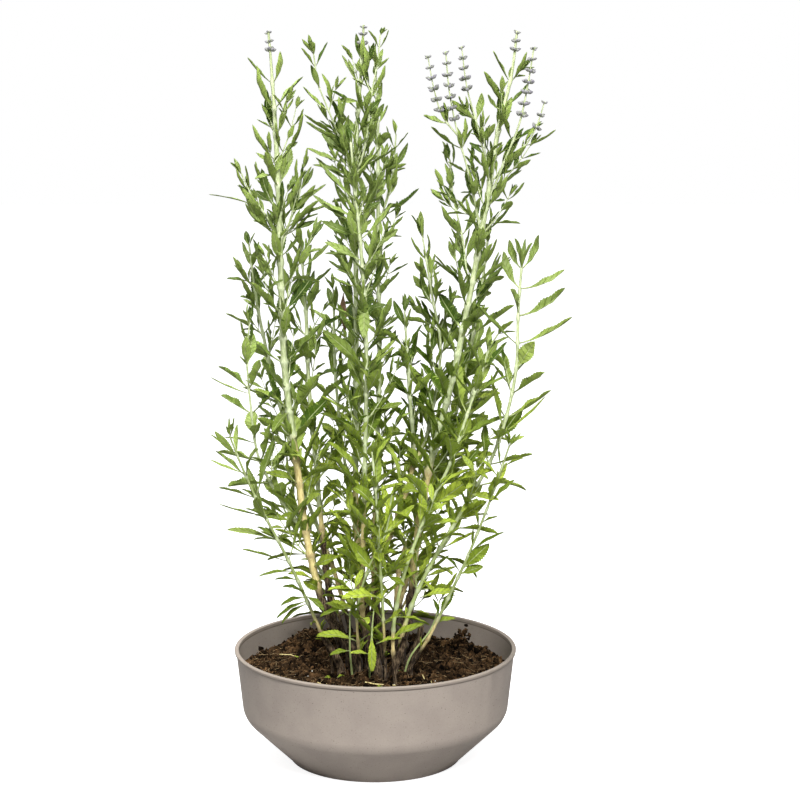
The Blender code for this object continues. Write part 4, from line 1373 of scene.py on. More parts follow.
# %% [markdown]
# ## The leaf's skin
# The upper face is a dull grey-green with a pale rib and fine side veins that run forwards to the teeth.
# The underside is paler and felted. Low leaves, grown in shade, are yellow-green. All of it is drawn from
# numbers that each leaf carries, so no leaf repeats another, and nothing depends on where the camera
# stands.

# %% Leaf material
VEINS = 44.0
VEIN_SLANT = 6.0
LEAF_DARK = srgb(46, 72, 0)
LEAF_LIGHT = srgb(133, 153, 74)
LEAF_GREY = srgb(150, 166, 106)
YOUNG_DARK = srgb(66, 90, 0)
YOUNG_LIGHT = srgb(168, 186, 60)
VEIN_PALE = srgb(128, 148, 60)
RIB_PALE = srgb(184, 196, 136)
UNDER_GREEN = srgb(128, 148, 70)
UNDER_YOUNG = srgb(134, 156, 30)
DEAD_DARK = srgb(78, 56, 40)
DEAD_LIGHT = srgb(128, 104, 80)


def leaf_material():
    material, graph, shader = new_material("leaf")
    share = attribute(graph, "share")
    rim = graph.maths("ABSOLUTE", attribute(graph, "rim"))
    under = attribute(graph, "under")
    young = attribute(graph, "young")
    # tint carries a leaf's own random tone and, for leaves deep in the bush, painted shade.
    tint = graph.step(attribute(graph, "tint"), 0.06, 0.94)
    dry = attribute(graph, "dry")
    place = object_place(graph)
    cloud = graph.noise(place, 9 * MM, 3)
    fine = graph.noise(place, 1.1 * MM, 3)
    vein = graph.step(graph.maths("SINE", share * VEINS - rim * VEIN_SLANT), 0.72, 1.0)
    vein = vein * (1 - graph.step(share, 0.93, 0.99))
    rib = 1 - graph.step(rim, 0.02, 0.12)
    stalk = 1 - graph.step(share, 0.1, 0.24)
    pale = graph.maths("MAXIMUM", rib * 0.75, stalk * 0.95)

    green = graph.mix(tint, LEAF_DARK, LEAF_LIGHT)
    green = graph.mix(graph.step(cloud, 0.3, 0.75) * (0.1 + 0.65 * tint), green, LEAF_GREY)
    yellow = graph.mix(tint, YOUNG_DARK, YOUNG_LIGHT)
    top = graph.mix(young * 0.9, green, yellow)
    top = graph.scaled(top, 0.8 + 0.5 * fine)
    top = graph.mix(vein * 0.36, top, VEIN_PALE)
    top = graph.mix(pale, top, RIB_PALE)
    below = graph.mix(young * 0.6, UNDER_GREEN, UNDER_YOUNG)
    below = graph.mix(vein * 0.25, graph.scaled(below, 0.9 + 0.4 * fine), RIB_PALE)
    below = graph.mix(pale, below, RIB_PALE)
    colour = graph.mix(under, top, below)
    colour = graph.mix(dry, colour, graph.mix(fine, DEAD_DARK, DEAD_LIGHT))
    relief = (1 - vein) * 0.8 + fine * 0.3 - rib * 0.5
    feed(graph, shader, base_color=colour, roughness=0.55 + 0.2 * under, specular_ior_level=0.15,
         normal=bumped(graph, relief, 0.9 * MM))
    return material


LEAF_SKIN = leaf_material()
print("leaf material with", len(LEAF_SKIN.node_tree.nodes), "nodes")

# %% [markdown]
# ## Pieces grown by trees
# Leaves, stems, buds and crumbs are all made in one way: a mesh of bare points carries the numbers, a tree
# of Geometry Nodes turns them into the real shape, and the result is kept as a plain mesh that rides with
# the pot. Thousands of leaves could be copied with Python alone, but a tree does it faster, and its sum can
# be read.

# %% Trees and what they grow
# Values that belong to every mesh, and so are always kept.
MESH_VALUES = ("position", "sharp_edge", "sharp_face", "material_index")


def new_tree(name, sizes):
    """A geometry tree with its named sizes, its graph, and links to its inputs."""
    tree = bpy.data.node_groups.new(name, "GeometryNodeTree")
    tree.interface.new_socket("Geometry", in_out="INPUT", socket_type="NodeSocketGeometry")
    for key, value in sizes.items():
        tree.interface.new_socket(key, in_out="INPUT", socket_type="NodeSocketFloat").default_value = value
    tree.interface.new_socket("Geometry", in_out="OUTPUT", socket_type="NodeSocketGeometry")
    graph = Graph(tree)
    start = tree.nodes.new("NodeGroupInput")
    return tree, graph, {key: Link(graph, start.outputs[key]) for key in ("Geometry", *sizes)}


def end_tree(graph, geometry, material):
    """The last steps of every tree: plain faces, shading, the material, and the way out."""
    real = graph.node("GeometryNodeRealizeInstances", {}, {"Geometry": geometry})
    smooth = graph.node("GeometryNodeSetShadeSmooth", {}, {"Geometry": real})
    done = graph.node("GeometryNodeSetMaterial", {}, {"Geometry": smooth, "Material": material})
    end = graph.tree.nodes.new("NodeGroupOutput")
    graph.tree.links.new(done.socket, end.inputs["Geometry"])


def stored(graph, name, kind="FLOAT"):
    return graph.node("GeometryNodeInputNamedAttribute", {"data_type": kind}, {"Name": name}, "Attribute")


def set_out(graph, geometry, collection, more):
    """The objects of a collection on points. Which of them goes on a point is stored there."""
    shapes = graph.node("GeometryNodeCollectionInfo", {},
                        {"Collection": collection, "Separate Children": True, "Reset Children": True})
    points = graph.node("GeometryNodeMeshToPoints", {}, {"Mesh": geometry})
    return graph.node("GeometryNodeInstanceOnPoints", {},
                      {"Points": points, "Instance": shapes, "Pick Instance": True,
                       "Instance Index": stored(graph, "kind"), **more})


def pieces_mesh(name, rows, edges=(), ways=(), values=()):
    """Points, joined or loose, that carry what is known of each: directions and numbers, by name."""
    mesh = mesh_of(name, [row["root"] for row in rows], list(edges), [])
    for key in ways:
        store(mesh, key, [part for row in rows for part in row[key]], "FLOAT_VECTOR")
    for key in values:
        store(mesh, key, [float(row[key]) for row in rows])
    return mesh


def grown(name, mesh, tree, sizes, slot, keep=()):
    """The plain object that a tree makes from a mesh. It keeps only the values that its material reads."""
    thing = linked(name, mesh)
    modifier = thing.modifiers.new("grow", "NODES")
    modifier.node_group = tree
    for socket in tree.interface.items_tree:
        if socket.in_out == "INPUT" and socket.name in sizes:
            modifier[socket.identifier] = sizes[socket.name]
    made = applied(thing)
    made.name = name
    for key in [a.name for a in made.attributes]:
        if key not in (*keep, *MESH_VALUES) and not key.startswith("."):
            made.attributes.remove(made.attributes[key])
    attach(thing, "root")
    return thing


print("values that every mesh keeps:", MESH_VALUES)

# %% [markdown]
# ## One tree bends every leaf
# A point stands for each leaf. The tree puts the right blade on it and then moves every point of the blade:
# along an arc for the arch, out to the side for the width, turned a little for the twist. It is the same
# sum for all leaves, so it is written once and the numbers come from the points.

# %% Leaf tree
THICKNESS = 0.5 * MM


def leaf_tree():
    tree, graph, inputs = new_tree("bend_leaves", {"Thickness": THICKNESS})
    blades = set_out(graph, inputs["Geometry"], BLADES, {})
    real = graph.node("GeometryNodeRealizeInstances", {}, {"Geometry": blades})
    root, way, side, up = (stored(graph, key, "FLOAT_VECTOR") for key in ("root", "way", "side", "up"))
    share, arch, length = (stored(graph, key) for key in ("share", "arch", "length"))
    half, twist = stored(graph, "half_width"), stored(graph, "twist") * share
    angle = arch * share
    sine, cosine = (graph.maths(name, angle) for name in ("SINE", "COSINE"))
    rib = root + way * (sine / arch * length) - up * ((1 - cosine) / arch * length)
    normal = up * cosine + way * sine
    sine, cosine = (graph.maths(name, twist) for name in ("SINE", "COSINE"))
    aside = side * cosine + normal * sine
    above = normal * cosine - side * sine
    height = stored(graph, "lift") * half - stored(graph, "below") * inputs["Thickness"]
    place = rib + aside * (stored(graph, "across") * half) + above * height
    bent = graph.node("GeometryNodeSetPosition", {}, {"Geometry": real, "Position": place})
    end_tree(graph, bent, LEAF_SKIN)
    return tree


LEAF_TREE = leaf_tree()
LEAF_KEEPS = ("share", "rim", "under", "young", "tint", "dry")


def leaves_object(name, leaves):
    mesh = pieces_mesh(name, leaves, (), ("root", "way", "side", "up"),
                       ("length", "half_width", "arch", "twist", "kind", "young", "tint", "dry"))
    return grown(name, mesh, LEAF_TREE, {"Thickness": THICKNESS}, "leaf", LEAF_KEEPS)


leaf_faces = 0
for name, (leaves, lines, spikes) in SPRAYS.items():
    piece = leaves_object("leaves_" + name, leaves)
    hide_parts("spray_" + name)
    leaf_faces += len(piece.data.polygons)
leaves_object("leaves_low_shoots", LOW_SPRAY[0])
print("faces of all leaves:", leaf_faces)

# %% [markdown]
# ## Stems that are square, ridged and swollen at their nodes
# Plants of this family have square stems. An outline with four blunt corners, swept along each line, gives
# the ridges and the shallow channels between them, and its size follows the thickness stored along the
# line. The same numbers tell the bark's age: brown and rough at the foot, tan above, and pale silvery green
# where it is young.

# %% Stem material
STEM_GREEN = srgb(220, 228, 184)
STEM_GREY = srgb(160, 174, 120)
STEM_FRESH = srgb(178, 196, 116)
NODE_PALE = srgb(222, 230, 196)
BARK_TAN = srgb(248, 232, 168)
BARK_OCHRE = srgb(212, 190, 126)
BARK_BROWN = srgb(140, 120, 94)
BARK_DARK = srgb(44, 32, 22)
GRAIN_STRETCH = (1, 1, 0.16)


def stem_material():
    material, graph, shader = new_material("stem_bark")
    age = attribute(graph, "age")
    fresh = attribute(graph, "fresh")
    node = attribute(graph, "node")
    place = object_place(graph)
    grain = graph.noise(graph.vectors("MULTIPLY", place, GRAIN_STRETCH), 1.1 * MM, 4, 0.6)
    patch = graph.noise(place, 7 * MM, 3)
    green = graph.mix(graph.step(grain, 0.35, 0.7), STEM_GREY, STEM_GREEN)
    green = graph.mix(graph.step(fresh, 0, 1) * 0.7, green, STEM_FRESH)
    green = graph.scaled(green, 1 - 0.32 * graph.step(fresh, 1.05, 1.35))
    green = graph.mix(node * 0.6, green, NODE_PALE)
    tan = graph.mix(graph.step(grain, 0.35, 0.65), BARK_OCHRE, BARK_TAN)
    tan = graph.mix(node * 0.6, tan, BARK_BROWN)
    brown = graph.mix(graph.step(grain, 0.42, 0.68), BARK_DARK, BARK_BROWN)
    ragged = age + (patch - 0.5) * 0.5
    colour = graph.mix(graph.step(ragged, 0.2, 0.9), green, tan)
    colour = graph.mix(graph.step(ragged, 1.3, 1.8), colour, brown)
    relief = grain + patch * 0.4
    feed(graph, shader, base_color=colour, roughness=0.62 + 0.12 * graph.step(age, 0.5, 2.0),
         normal=bumped(graph, relief, 0.5 * MM, 0.7), sheen_weight=0.04, specular_ior_level=0.2)
    return material


STEM_SKIN = stem_material()
print("stem material with", len(STEM_SKIN.node_tree.nodes), "nodes")

# %% Stem tree
RIDGE = 0.86


def stem_tree():
    tree, graph, inputs = new_tree("sweep_stems", {"Ridge": RIDGE})
    line = graph.node("GeometryNodeMeshToCurve", {}, {"Mesh": inputs["Geometry"]})
    outline = graph.node("GeometryNodeCurveStar", {},
                         {"Points": 4, "Inner Radius": inputs["Ridge"], "Outer Radius": 1.0}, "Curve")
    swept = graph.node("GeometryNodeCurveToMesh", {},
                       {"Curve": line, "Profile Curve": outline, "Scale": stored(graph, "thickness"),
                        "Fill Caps": True})
    end_tree(graph, swept, STEM_SKIN)
    return tree


STEM_TREE = stem_tree()
STEM_KEEPS = ("age", "fresh", "node")


def stems_object(name, lines):
    """Separate lines of points as one mesh, grown by the stem tree."""
    rows = []
    edges = []
    for line in lines:
        edges += [(len(rows) + i, len(rows) + i + 1) for i in range(len(line) - 1)]
        rows += line
    mesh = pieces_mesh(name, rows, edges, (), ("thickness", *STEM_KEEPS))
    return grown(name, mesh, STEM_TREE, {"Ridge": RIDGE}, "stem", STEM_KEEPS)


stem_faces = 0
for name, (leaves, lines, spikes) in SPRAYS.items():
    piece = stems_object("stems_" + name, lines)
    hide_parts("spray_" + name)
    stem_faces += len(piece.data.polygons)
stems_object("stems_low_shoots", LOW_SPRAY[1])
print("faces of all stems:", stem_faces)

# %% [markdown]
# ## Felted buds
# The buds are still shut, so each reads as a small felted bead, green at its foot and grey lavender above.
# One egg with three rings is enough at this size. Its material goes by how far along the egg a point lies.

# %% Bud and its felt
BUD_WIDTH = 0.56
# The egg's rings: how far along, and how wide there.
BUD_RINGS = ((0.25, 0.8), (0.55, 1.0), (0.82, 0.6))
BUD_SIDES = 6
BUD_LILAC = srgb(134, 130, 142)
BUD_GREY = srgb(130, 132, 122)
BUD_GREEN = srgb(136, 146, 116)


def bud_material():
    material, graph, shader = new_material("bud_felt")
    share = attribute(graph, "share")
    tint = attribute(graph, "tint")
    place = object_place(graph)
    felt = graph.noise(place, 0.5 * MM, 3, 0.7)
    cloud = graph.noise(place, 4 * MM, 2)
    colour = graph.mix(graph.step(share + (cloud - 0.5) * 0.5, 0.1, 0.7), BUD_GREEN, BUD_GREY)
    colour = graph.mix(graph.step(share, 0.35, 0.95) * (0.4 + 0.6 * tint), colour, BUD_LILAC)
    colour = graph.scaled(colour, 0.8 + 0.4 * felt)
    feed(graph, shader, base_color=colour, roughness=0.85, normal=bumped(graph, felt, 0.3 * MM, 0.8),
         sheen_weight=0.1, specular_ior_level=0.2)
    return material


def egg_object(collection):
    """A small egg along +Z with its foot at the origin, closed at both ends."""
    points = [(0, 0, 0)]
    for share, wide in BUD_RINGS:
        points += ring_of(wide * BUD_WIDTH / 2, share, BUD_SIDES)
    points.append((0, 0, 1))
    mesh = mesh_of("egg", points, [], ringed_faces(len(BUD_RINGS), BUD_SIDES))
    store(mesh, "share", [float(point[2]) for point in points])
    linked("egg", mesh, collection)


EGGS = bpy.data.collections.new("eggs")
egg_object(EGGS)
print("points of a bud:", 2 + len(BUD_RINGS) * BUD_SIDES)

# %% [markdown]
# ## Buds in whorls
# A flowering tip carries its buds in rings, close together near the end, and each bud points up and
# outwards. A tree puts one egg on each point, turned to the direction stored there. The same tree is used
# again for the loose crumbs on the soil.

# %% Whorls of buds
BUD_LENGTH = 6.2 * MM
WHORL_GAP = 11.5 * MM


def spread_tree(name, collection, material):
    """A tree that puts shapes on points: which shape, which way and how large is stored there."""
    tree, graph, inputs = new_tree(name, {"Size": 1.0})
    turned = graph.node("FunctionNodeAxesToRotation", {},
                        {"Primary Axis": stored(graph, "way", "FLOAT_VECTOR"),
                         "Secondary Axis": stored(graph, "up", "FLOAT_VECTOR")})
    size = stored(graph, "size", "FLOAT_VECTOR") * inputs["Size"]
    pieces = set_out(graph, inputs["Geometry"], collection, {"Rotation": turned, "Scale": size})
    end_tree(graph, pieces, material)
    return tree


def free_way(draw):
    return Vector([draw.gauss(0, 1) for _ in range(3)]).normalized()


def grow_buds(run, route, rings):
    """Whorls of buds from the tip down, smaller at the very end."""
    draw = random.Random(run + " whorls")
    rows = []
    reach = rings * RING_GAP
    whorls = max(3, round(reach / WHORL_GAP))
    for whorl in range(whorls):
        root, way = route.on_curve(route.length - 2 * MM - reach * (whorl / whorls))
        size = BUD_LENGTH * mixed(0.62, 1.1, min(1, whorl / 2.5))
        count = draw.randint(5, 7)
        first = draw.uniform(0, math.pi)
        for bud in range(count):
            out = Matrix.Rotation(first + 2 * math.pi * bud / count, 3, way) @ across_of(way)
            heading = (out + way * draw.uniform(0.15, 0.7)).normalized()
            width = size * draw.uniform(0.85, 1.15)
            place = root + out * 0.5 * MM + way * draw.uniform(-0.8, 0.8) * MM
            if stands_free(place + heading * size, 0):
                rows.append({"root": place, "way": heading, "up": out, "kind": 0, "tint": draw.random(),
                             "size": Vector((width, width, size))})
    return rows


BUD_TREE = spread_tree("set_buds", EGGS, bud_material())


def spread(name, rows, tree, slot, keep):
    """Small shapes set out by a tree, one for each row."""
    mesh = pieces_mesh(name, rows, (), ("way", "up", "size"), ("kind", "tint"))
    return grown(name, mesh, tree, {"Size": 1.0}, slot, keep)


bud_count = 0
for name, (leaves, lines, spikes) in SPRAYS.items():
    rows = [row for spike in spikes for row in grow_buds(*spike)]
    if rows:
        piece = spread("buds_" + name, rows, BUD_TREE, "bud", ("share", "tint"))
        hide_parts("spray_" + name)
        bud_count += len(rows)
print("buds:", bud_count)

# %% [markdown]
# ## The bowl
# The pot is thin moulded plastic: a low bowl with a round shoulder and a flat, slightly thicker lip. A bowl
# is the same all round, so one outline is drawn and turned. It is the frame's outline, with finer steps
# round the edges.

# %% Outline of the bowl
POT_WALL = 3 * MM
LIP_HEIGHT = 3.4 * MM
LIP_OUT = 1.6 * MM
LIP_EDGE = 1 * MM
WALL_SLOPE = math.radians(6.1)
WALL_DEPTH = 62 * MM
SHOULDER_RADIUS = 24 * MM
SHOULDER_END = math.radians(46)
FOOT_RADIUS = 92 * MM
FOOT_EDGE = 2 * MM


def arc(centre, radius, first, last, count):
    """Points round a centre, from one angle to another, measured down from +X."""
    for step in range(count + 1):
        angle = first + (last - first) * step / count
        yield centre[0] + radius * math.cos(angle), centre[1] - radius * math.sin(angle)


def bowl_side(inset, shoulder_steps):
    """The bowl's side from the top of its wall to its foot, drawn in by inset."""
    top = Vector((POT_RADIUS - LIP_OUT, POT_HEIGHT))
    low = top + Vector((-math.tan(WALL_SLOPE), -1)) * WALL_DEPTH
    centre = low - Vector((math.cos(WALL_SLOPE), -math.sin(WALL_SLOPE))) * SHOULDER_RADIUS
    side = [tuple(top - Vector((inset, 0)))]
    side += list(arc(centre, SHOULDER_RADIUS - inset, WALL_SLOPE, SHOULDER_END, shoulder_steps))
    return side


def pot_outline():
    outer = bowl_side(0, 12)
    inner = bowl_side(POT_WALL, 10)
    round_out = (POT_RADIUS - LIP_EDGE, POT_HEIGHT - LIP_EDGE)
    round_in = (inner[0][0] + LIP_EDGE, POT_HEIGHT - LIP_EDGE)
    quarter = math.pi / 2
    outline = [(0, POT_WALL), (FOOT_RADIUS - 2 * POT_WALL, POT_WALL)] + inner[:0:-1]
    outline += [(inner[0][0], POT_HEIGHT - 12 * MM)]
    outline += list(arc(round_in, LIP_EDGE, -2 * quarter, -quarter, 4))
    outline += list(arc(round_out, LIP_EDGE, -quarter, 0, 4))
    under = POT_HEIGHT - LIP_HEIGHT
    wall_top = outer[0][0] - LIP_HEIGHT * math.tan(WALL_SLOPE)
    outline += [(POT_RADIUS - 0.3 * MM, under + 0.5 * MM), (POT_RADIUS - 0.8 * MM, under)]
    outline += [(wall_top + 0.2 * MM, under - 0.3 * MM), (wall_top, under - 0.9 * MM)] + outer[1:]
    outline += list(arc((FOOT_RADIUS - FOOT_EDGE, FOOT_EDGE), FOOT_EDGE, 0, quarter, 5)) + [(0, 0)]
    return outline


print("points of the bowl's outline:", len(pot_outline()))

# %% [markdown]
# ## The bowl's plastic
# The plastic is matte, mottled, and full of fine dark specks, with painted shadow and some grime right under
# the lip.
# Noise and scattered points give all of that in any size, where a painted picture would blur close up.

# %% Plastic material
POT_TAUPE = srgb(154, 143, 134)
POT_LIGHT = srgb(162, 151, 141)
LIP_LIGHT = srgb(136, 125, 114)
LIP_SHADOW_BAND = 1.6 * MM
POT_SPECK_AND_SHADOW = srgb(92, 82, 74)


def pot_material():
    material, graph, shader = new_material("taupe_plastic")
    place = object_place(graph)
    height = graph.part(place, "Z")
    cloud = graph.noise(place, 30 * MM, 4, 0.6)
    fine = graph.noise(place, 1.6 * MM, 3, 0.7)
    specks = 1 - graph.step(graph.speckles(place, 2.6 * MM) + fine * 0.24, 0.2, 0.3)
    dots = 1 - graph.step(graph.speckles(place, 6.5 * MM), 0.05, 0.09)
    colour = graph.mix(graph.step(cloud, 0.3, 0.7), POT_TAUPE, POT_LIGHT)
    colour = graph.scaled(colour, 0.9 + 0.2 * fine)
    colour = graph.mix(graph.maths("MAXIMUM", specks * 0.5, dots * 0.85), colour, POT_SPECK_AND_SHADOW)
    under = POT_HEIGHT - LIP_HEIGHT
    lip = graph.step(height, under - 0.2 * MM, under + 0.5 * MM)
    colour = graph.mix(lip * 0.6, colour, LIP_LIGHT)
    # Painted shadow under the lip's overhang, mottled by the cloud noise like grime: a thin dark band.
    lip_shadow = graph.step(height, under - LIP_SHADOW_BAND, under - 0.4 * MM) * (1 - lip)
    colour = graph.mix(lip_shadow * (0.5 + 0.45 * graph.step(cloud, 0.3, 0.6)), colour, POT_SPECK_AND_SHADOW)
    feed(graph, shader, base_color=colour, roughness=0.62 + 0.12 * cloud,
         normal=bumped(graph, fine + specks * 0.3, 0.12 * MM, 0.5), specular_ior_level=0.4)
    return material


POT_SKIN = pot_material()
print("plastic material with", len(POT_SKIN.node_tree.nodes), "nodes")

# %% [markdown]
# ## Turning the bowl
# The outline is turned by a Screw modifier. Under the lip, at the front right, sits the small rough scar
# that the mould left. It is made by pushing a few points of the finished bowl in and out at random.

# %% Pot
POT_STEPS = 180
MERGED = 1e-6
SHARP_FROM = math.radians(38)
SCAR_TURN = math.radians(54)
SCAR_REACH = math.radians(4.2)
SCAR_HEIGHTS = (POT_HEIGHT - 7 * MM, POT_HEIGHT - 3.5 * MM)
SCAR_IN = 0.7
SCAR_DOWN = 0.9


def scar(shape):
    """The rough mark of the mould: a few points under the lip pushed in and out at random."""
    draw = random.Random(7)
    for point in shape.verts:
        near = abs(math.atan2(point.co.x, -point.co.y) - SCAR_TURN) < SCAR_REACH
        level = SCAR_HEIGHTS[0] < point.co.z < SCAR_HEIGHTS[1]
        if near and level and point.co.xy.length > POT_RADIUS - POT_WALL:
            point.co.xy *= 1 - draw.uniform(0, SCAR_IN) * MM / point.co.xy.length
            point.co.z -= draw.uniform(0, SCAR_DOWN) * MM


def make_pot(material):
    outline = pot_outline()
    edges = [(i, i + 1) for i in range(len(outline) - 1)]
    pot = linked("bowl_pot", mesh_of("bowl_pot", [(r, 0, z) for r, z in outline], edges, []))
    screw = pot.modifiers.new("turn", "SCREW")
    screw.steps = POT_STEPS
    screw.render_steps = POT_STEPS
    screw.use_merge_vertices = True
    screw.merge_threshold = MERGED
    made = applied(pot)
    shape = bmesh.new()
    shape.from_mesh(made)
    bmesh.ops.remove_doubles(shape, verts=shape.verts, dist=MERGED)
    scar(shape)
    bmesh.ops.recalc_face_normals(shape, faces=shape.faces)
    shape.to_mesh(made)
    shape.free()
    made.materials.append(material)
    made.shade_smooth()
    made.set_sharp_from_angle(angle=SHARP_FROM)
    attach(pot, "root")
    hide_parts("pot")
    return pot


POT = make_pot(POT_SKIN)
print("faces of the pot:", len(POT.data.polygons))

# %% [markdown]
# ## The soil
# The peat fills the bowl to about 2 cm below its lip. Its body could be a grid, but rings of points follow
# the round wall without a gap: a rough top, which reads its heights from the rule above and sinks at the
# edge, and plain sides just inside the pot's wall. Each point also stores how high its grain stands, and the
# colour is lightened on the tops of the crumbs and darkened in the hollows between them: painted light and
# painted shade. Damp patches are darker, and pale fibres run through it.

# %% Soil body
SOIL_SECTORS = 240
SOIL_RINGS = 84
SOIL_GAP = 0.25 * MM
SINKS_TO = 0.35
HIDDEN_TINT = 0.3
FIBRE_STRETCH = (1, 0.2, 0.5)
PEAT_DARK = srgb(12, 6, 1)
PEAT_BROWN = srgb(70, 51, 32)
PEAT_CRUMB = srgb(122, 98, 72)
PEAT_FIBRE = srgb(132, 108, 78)


def soil_material():
    material, graph, shader = new_material("peat")
    place = object_place(graph)
    tint = attribute(graph, "tint")
    coarse = graph.noise(place, 9 * MM, 4, 0.65)
    fine = graph.noise(place, 1.2 * MM, 4, 0.7)
    threads = graph.noise(graph.vectors("MULTIPLY", place, FIBRE_STRETCH), 0.9 * MM, 2)
    colour = graph.mix(graph.step(coarse, 0.3, 0.7), PEAT_DARK, PEAT_BROWN)
    colour = graph.mix(graph.step(fine, 0.5, 0.78), colour, PEAT_CRUMB)
    damp = graph.step(graph.noise(place, 34 * MM, 3), 0.38, 0.6)
    colour = graph.scaled(colour, 0.6 + 0.52 * damp)
    colour = graph.mix(graph.step(threads, 0.66, 0.74) * 0.5, colour, PEAT_FIBRE)
    # On the bed, tint is painted light on the grain's tops and painted shade in its hollows; on crumbs it is
    # a random tone.
    colour = graph.scaled(colour, 0.06 + 3.1 * tint)
    feed(graph, shader, base_color=colour, roughness=0.95, specular_ior_level=0.06,
         normal=bumped(graph, fine + coarse * 0.5, 0.9 * MM, 0.9))
    return material


def make_soil(material):
    """A disc of rings with a rough top, closed down along the pot's wall to its floor."""
    inner = bowl_side(POT_WALL + SOIL_GAP, 8)
    wall, low = inner[0], inner[1]
    edge = wall[0] + (low[0] - wall[0]) * (POT_HEIGHT - SOIL_LEVEL) / (wall[1] - low[1])
    side = inner[1:] + [(FOOT_RADIUS - 2 * POT_WALL - 1 * MM, POT_WALL + SOIL_GAP)]
    points = [(0, 0, soil_top(0, 0))]
    grain_shade = [HIDDEN_TINT]
    for ring in range(1, SOIL_RINGS + 1):
        reach = edge * ring / SOIL_RINGS
        share = min(1, (edge - reach) / RIM_FALL)
        for x, y, level in ring_of(reach, SOIL_LEVEL, SOIL_SECTORS):
            points.append((x, y, level + (soil_top(x, y) - level) * max(SINKS_TO, share)))
            # Painted light and shade: the grain's tops get a higher value, and so a lighter colour, than its
            # hollows.
            grain_shade.append(0.55 * eased(grain_of_soil(x, y), -2.5 * MM, 3 * MM))
    for reach, height in side:
        points += ring_of(reach, height, SOIL_SECTORS)
    points.append((0, 0, side[-1][1]))
    grain_shade += [HIDDEN_TINT] * (len(points) - len(grain_shade))
    mesh = mesh_of("peat_bed", points, [], ringed_faces(SOIL_RINGS + len(side), SOIL_SECTORS, True))
    store(mesh, "tint", grain_shade)
    mesh.materials.append(material)
    mesh.shade_smooth()
    soil = linked("peat_bed", mesh)
    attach(soil, "root")
    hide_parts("soil")
    return soil


PEAT = soil_material()
SOIL = make_soil(PEAT)
print("faces of the soil:", len(SOIL.data.polygons))

# %% [markdown]
# ## Shapes of crumbs and straws
# Over the peat lie loose crumbs and small clods, dry straw-like fibres and a few white grains. Four rough
# lumps and three bent straws are enough for all of them, because every one lies another way up.

# %% Lumps and straws
CRUMB_SHAPES = bpy.data.collections.new("crumb_shapes")
STRAW_SHAPES = bpy.data.collections.new("straw_shapes")
LUMPS = 4
STRAW_KINDS = 3
STRAW_RADIUS = 0.05


def lump_object(name, seed, flat, collection):
    """A rough pebble from a sphere of 20 faces, pulled about and flattened."""
    mesh = bpy.data.meshes.new(name)
    shape = bmesh.new()
    bmesh.ops.create_icosphere(shape, subdivisions=1, radius=0.5)
    draw = random.Random(seed)
    for point in shape.verts:
        point.co *= draw.uniform(0.45, 1.3)
        point.co.z *= flat
    shape.to_mesh(mesh)
    shape.free()
    linked(name, mesh, collection)


def straw_object(name, seed, collection):
    """A bent three-sided stick along +Z, one unit long."""
    draw = random.Random(seed)
    points = []
    for step in range(5):
        share = step / 4
        bend = draw.uniform(-0.1, 0.1)
        points += [(bend + x, y, z) for x, y, z in ring_of(STRAW_RADIUS, share - 0.5, 3)]
    faces = [(2, 1, 0), (12, 13, 14)]
    for step in range(4):
        for side in range(3):
            ahead = (side + 1) % 3
            faces.append((3 * step + side, 3 * step + ahead, 3 * step + 3 + ahead, 3 * step + 3 + side))
    linked(name, mesh_of(name, points, [], faces), collection)


for seed in range(LUMPS):
    lump_object(f"crumb_{seed}", seed, 0.8, CRUMB_SHAPES)
for seed in range(STRAW_KINDS):
    straw_object(f"straw_{seed}", seed, STRAW_SHAPES)

# %% [markdown]
# ## Crumbs, fibres and white grains
# Each crumb is only a point at first, thrown by a fixed seed, with a way, a size and a tint of its own. It
# lies on the soil's height rule, so it never floats. The tree that sets out the buds sets these out too.

# %% Litter on the soil
CRUMBS = 7200
STRAWS = 820
SOIL_REACH = 141 * MM
CLUMP_CRUMBS = 110
CLUMP_FOOT = Vector((84, 60, 98)) * MM
CLUMP_LEAN = Vector((16, 3, 22)) * MM
# White grains lie here and there in fours, more of them at the back and on the plant's crown.
GRAIN_PLACES = ((-35, 106), (-41, 58), (38, 114), (-20, 8), (-2, 20), (30, 12), (-60, 70), (60, -60),
                (-80, -30), (8, -70))


def litter_material(name, first, second):
    """A dull skin that goes from one colour to another by the tint of each piece."""
    material, graph, shader = new_material(name)
    fine = graph.noise(object_place(graph), 0.9 * MM, 3)
    colour = graph.mix(attribute(graph, "tint"), srgb(*first), srgb(*second))
    colour = graph.scaled(colour, 0.75 + 0.5 * fine)
    feed(graph, shader, base_color=colour, roughness=0.85, normal=bumped(graph, fine, 0.2 * MM, 0.5))
    return material


def on_soil(draw):
    """A random place on the soil, as far out as its edge."""
    reach = SOIL_REACH * math.sqrt(draw.random())
    angle = draw.uniform(0, 2 * math.pi)
    x, y = reach * math.cos(angle), reach * math.sin(angle)
    edge_share = max(SINKS_TO, min(1, (SOIL_REACH + 3 * MM - reach) / RIM_FALL))
    return Vector((x, y, SOIL_LEVEL + (soil_top(x, y) - SOIL_LEVEL) * edge_share))


def lump_row(root, size, draw):
    """A rough pebble that lies any way up."""
    return {"root": root, "way": free_way(draw), "up": free_way(draw), "kind": draw.randrange(LUMPS),
            "tint": draw.random(), "size": size}


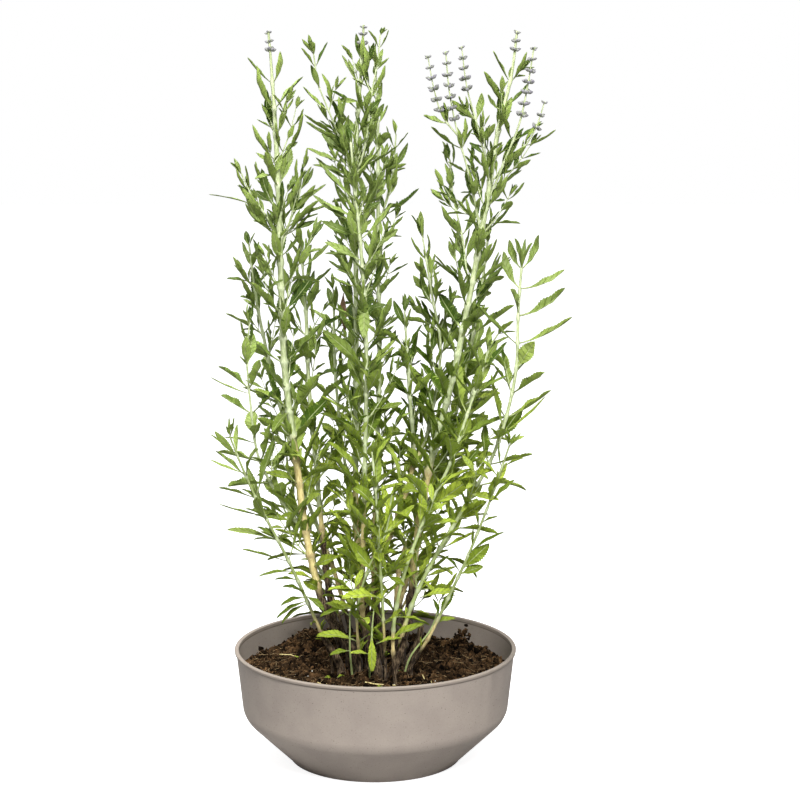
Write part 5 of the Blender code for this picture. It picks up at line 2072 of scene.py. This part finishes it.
def crumb_rows():
    draw = random.Random(41)
    rows = []
    for _ in range(CRUMBS):
        size = min(11, 1.3 + draw.expovariate(0.55)) * MM
        row = lump_row(on_soil(draw) + Vector((0, 0, 0.1 * size)), size, draw)
        row["tint"] **= 1.6
        row["size"] *= Vector((1, draw.uniform(0.6, 1), draw.uniform(0.5, 0.9)))
        rows.append(row)
    for _ in range(CLUMP_CRUMBS):
        size = draw.uniform(2, 6) * MM
        share = draw.random()
        aside = Vector([draw.gauss(0, mixed(5, 2.5, share)) * MM for _ in "xyz"])
        place = CLUMP_FOOT + share * CLUMP_LEAN + aside
        rows.append(lump_row(place, size * Vector((1, 0.8, 0.7)), draw))
    return rows


def straw_rows():
    draw = random.Random(43)
    rows = []
    for _ in range(STRAWS):
        length = draw.uniform(4, 17) * MM
        turn = draw.uniform(0, 2 * math.pi)
        way = Vector((math.cos(turn), math.sin(turn), draw.gauss(0.05, 0.16))).normalized()
        width = draw.uniform(2.4, 6.5) * MM
        rows.append({"root": on_soil(draw) + Vector((0, 0, 0.9 * MM)), "way": way, "up": free_way(draw),
                     "kind": draw.randrange(STRAW_KINDS), "tint": draw.random(),
                     "size": Vector((width, width, length))})
    return [row for row in rows if (row["root"].xy.length + 8 * MM) < SOIL_REACH]


def grain_rows():
    draw = random.Random(47)
    rows = []
    for x, y in GRAIN_PLACES:
        for _ in range(4):
            place = Vector((x + draw.gauss(0, 9), y + draw.gauss(0, 9), 0)) * MM
            size = draw.uniform(0.9, 2.2) * MM
            place.z = soil_top(place.x, place.y) + 0.3 * size
            rows.append(lump_row(place, Vector((size,) * 3), draw))
    return rows


FIBRE_SKIN = litter_material("dry_fibre", (96, 72, 46), (176, 150, 108))
GRAIN_SKIN = litter_material("white_grain", (196, 192, 180), (232, 228, 218))
for name, rows, shapes, material in (("crumbs", crumb_rows(), CRUMB_SHAPES, PEAT),
                                     ("fibres", straw_rows(), STRAW_SHAPES, FIBRE_SKIN),
                                     ("white_grains", grain_rows(), CRUMB_SHAPES, GRAIN_SKIN)):
    spread(name, rows, spread_tree("spread_" + name, shapes, material), "peat_soil", ("tint",))
    print(name, len(rows))

# %% [markdown]
# ## The helpers go, and the frame's box
# The finer pieces have to stay inside the solids' box, so that box is printed. The shapes that the trees set
# out are removed first.

# %% Sizes and the end
for shapes in (BLADES, EGGS, CRUMB_SHAPES, STRAW_SHAPES):
    for thing in list(shapes.objects):
        bpy.data.objects.remove(thing)
    bpy.data.collections.remove(shapes)

print("box of the frame:", CAD_BOX)
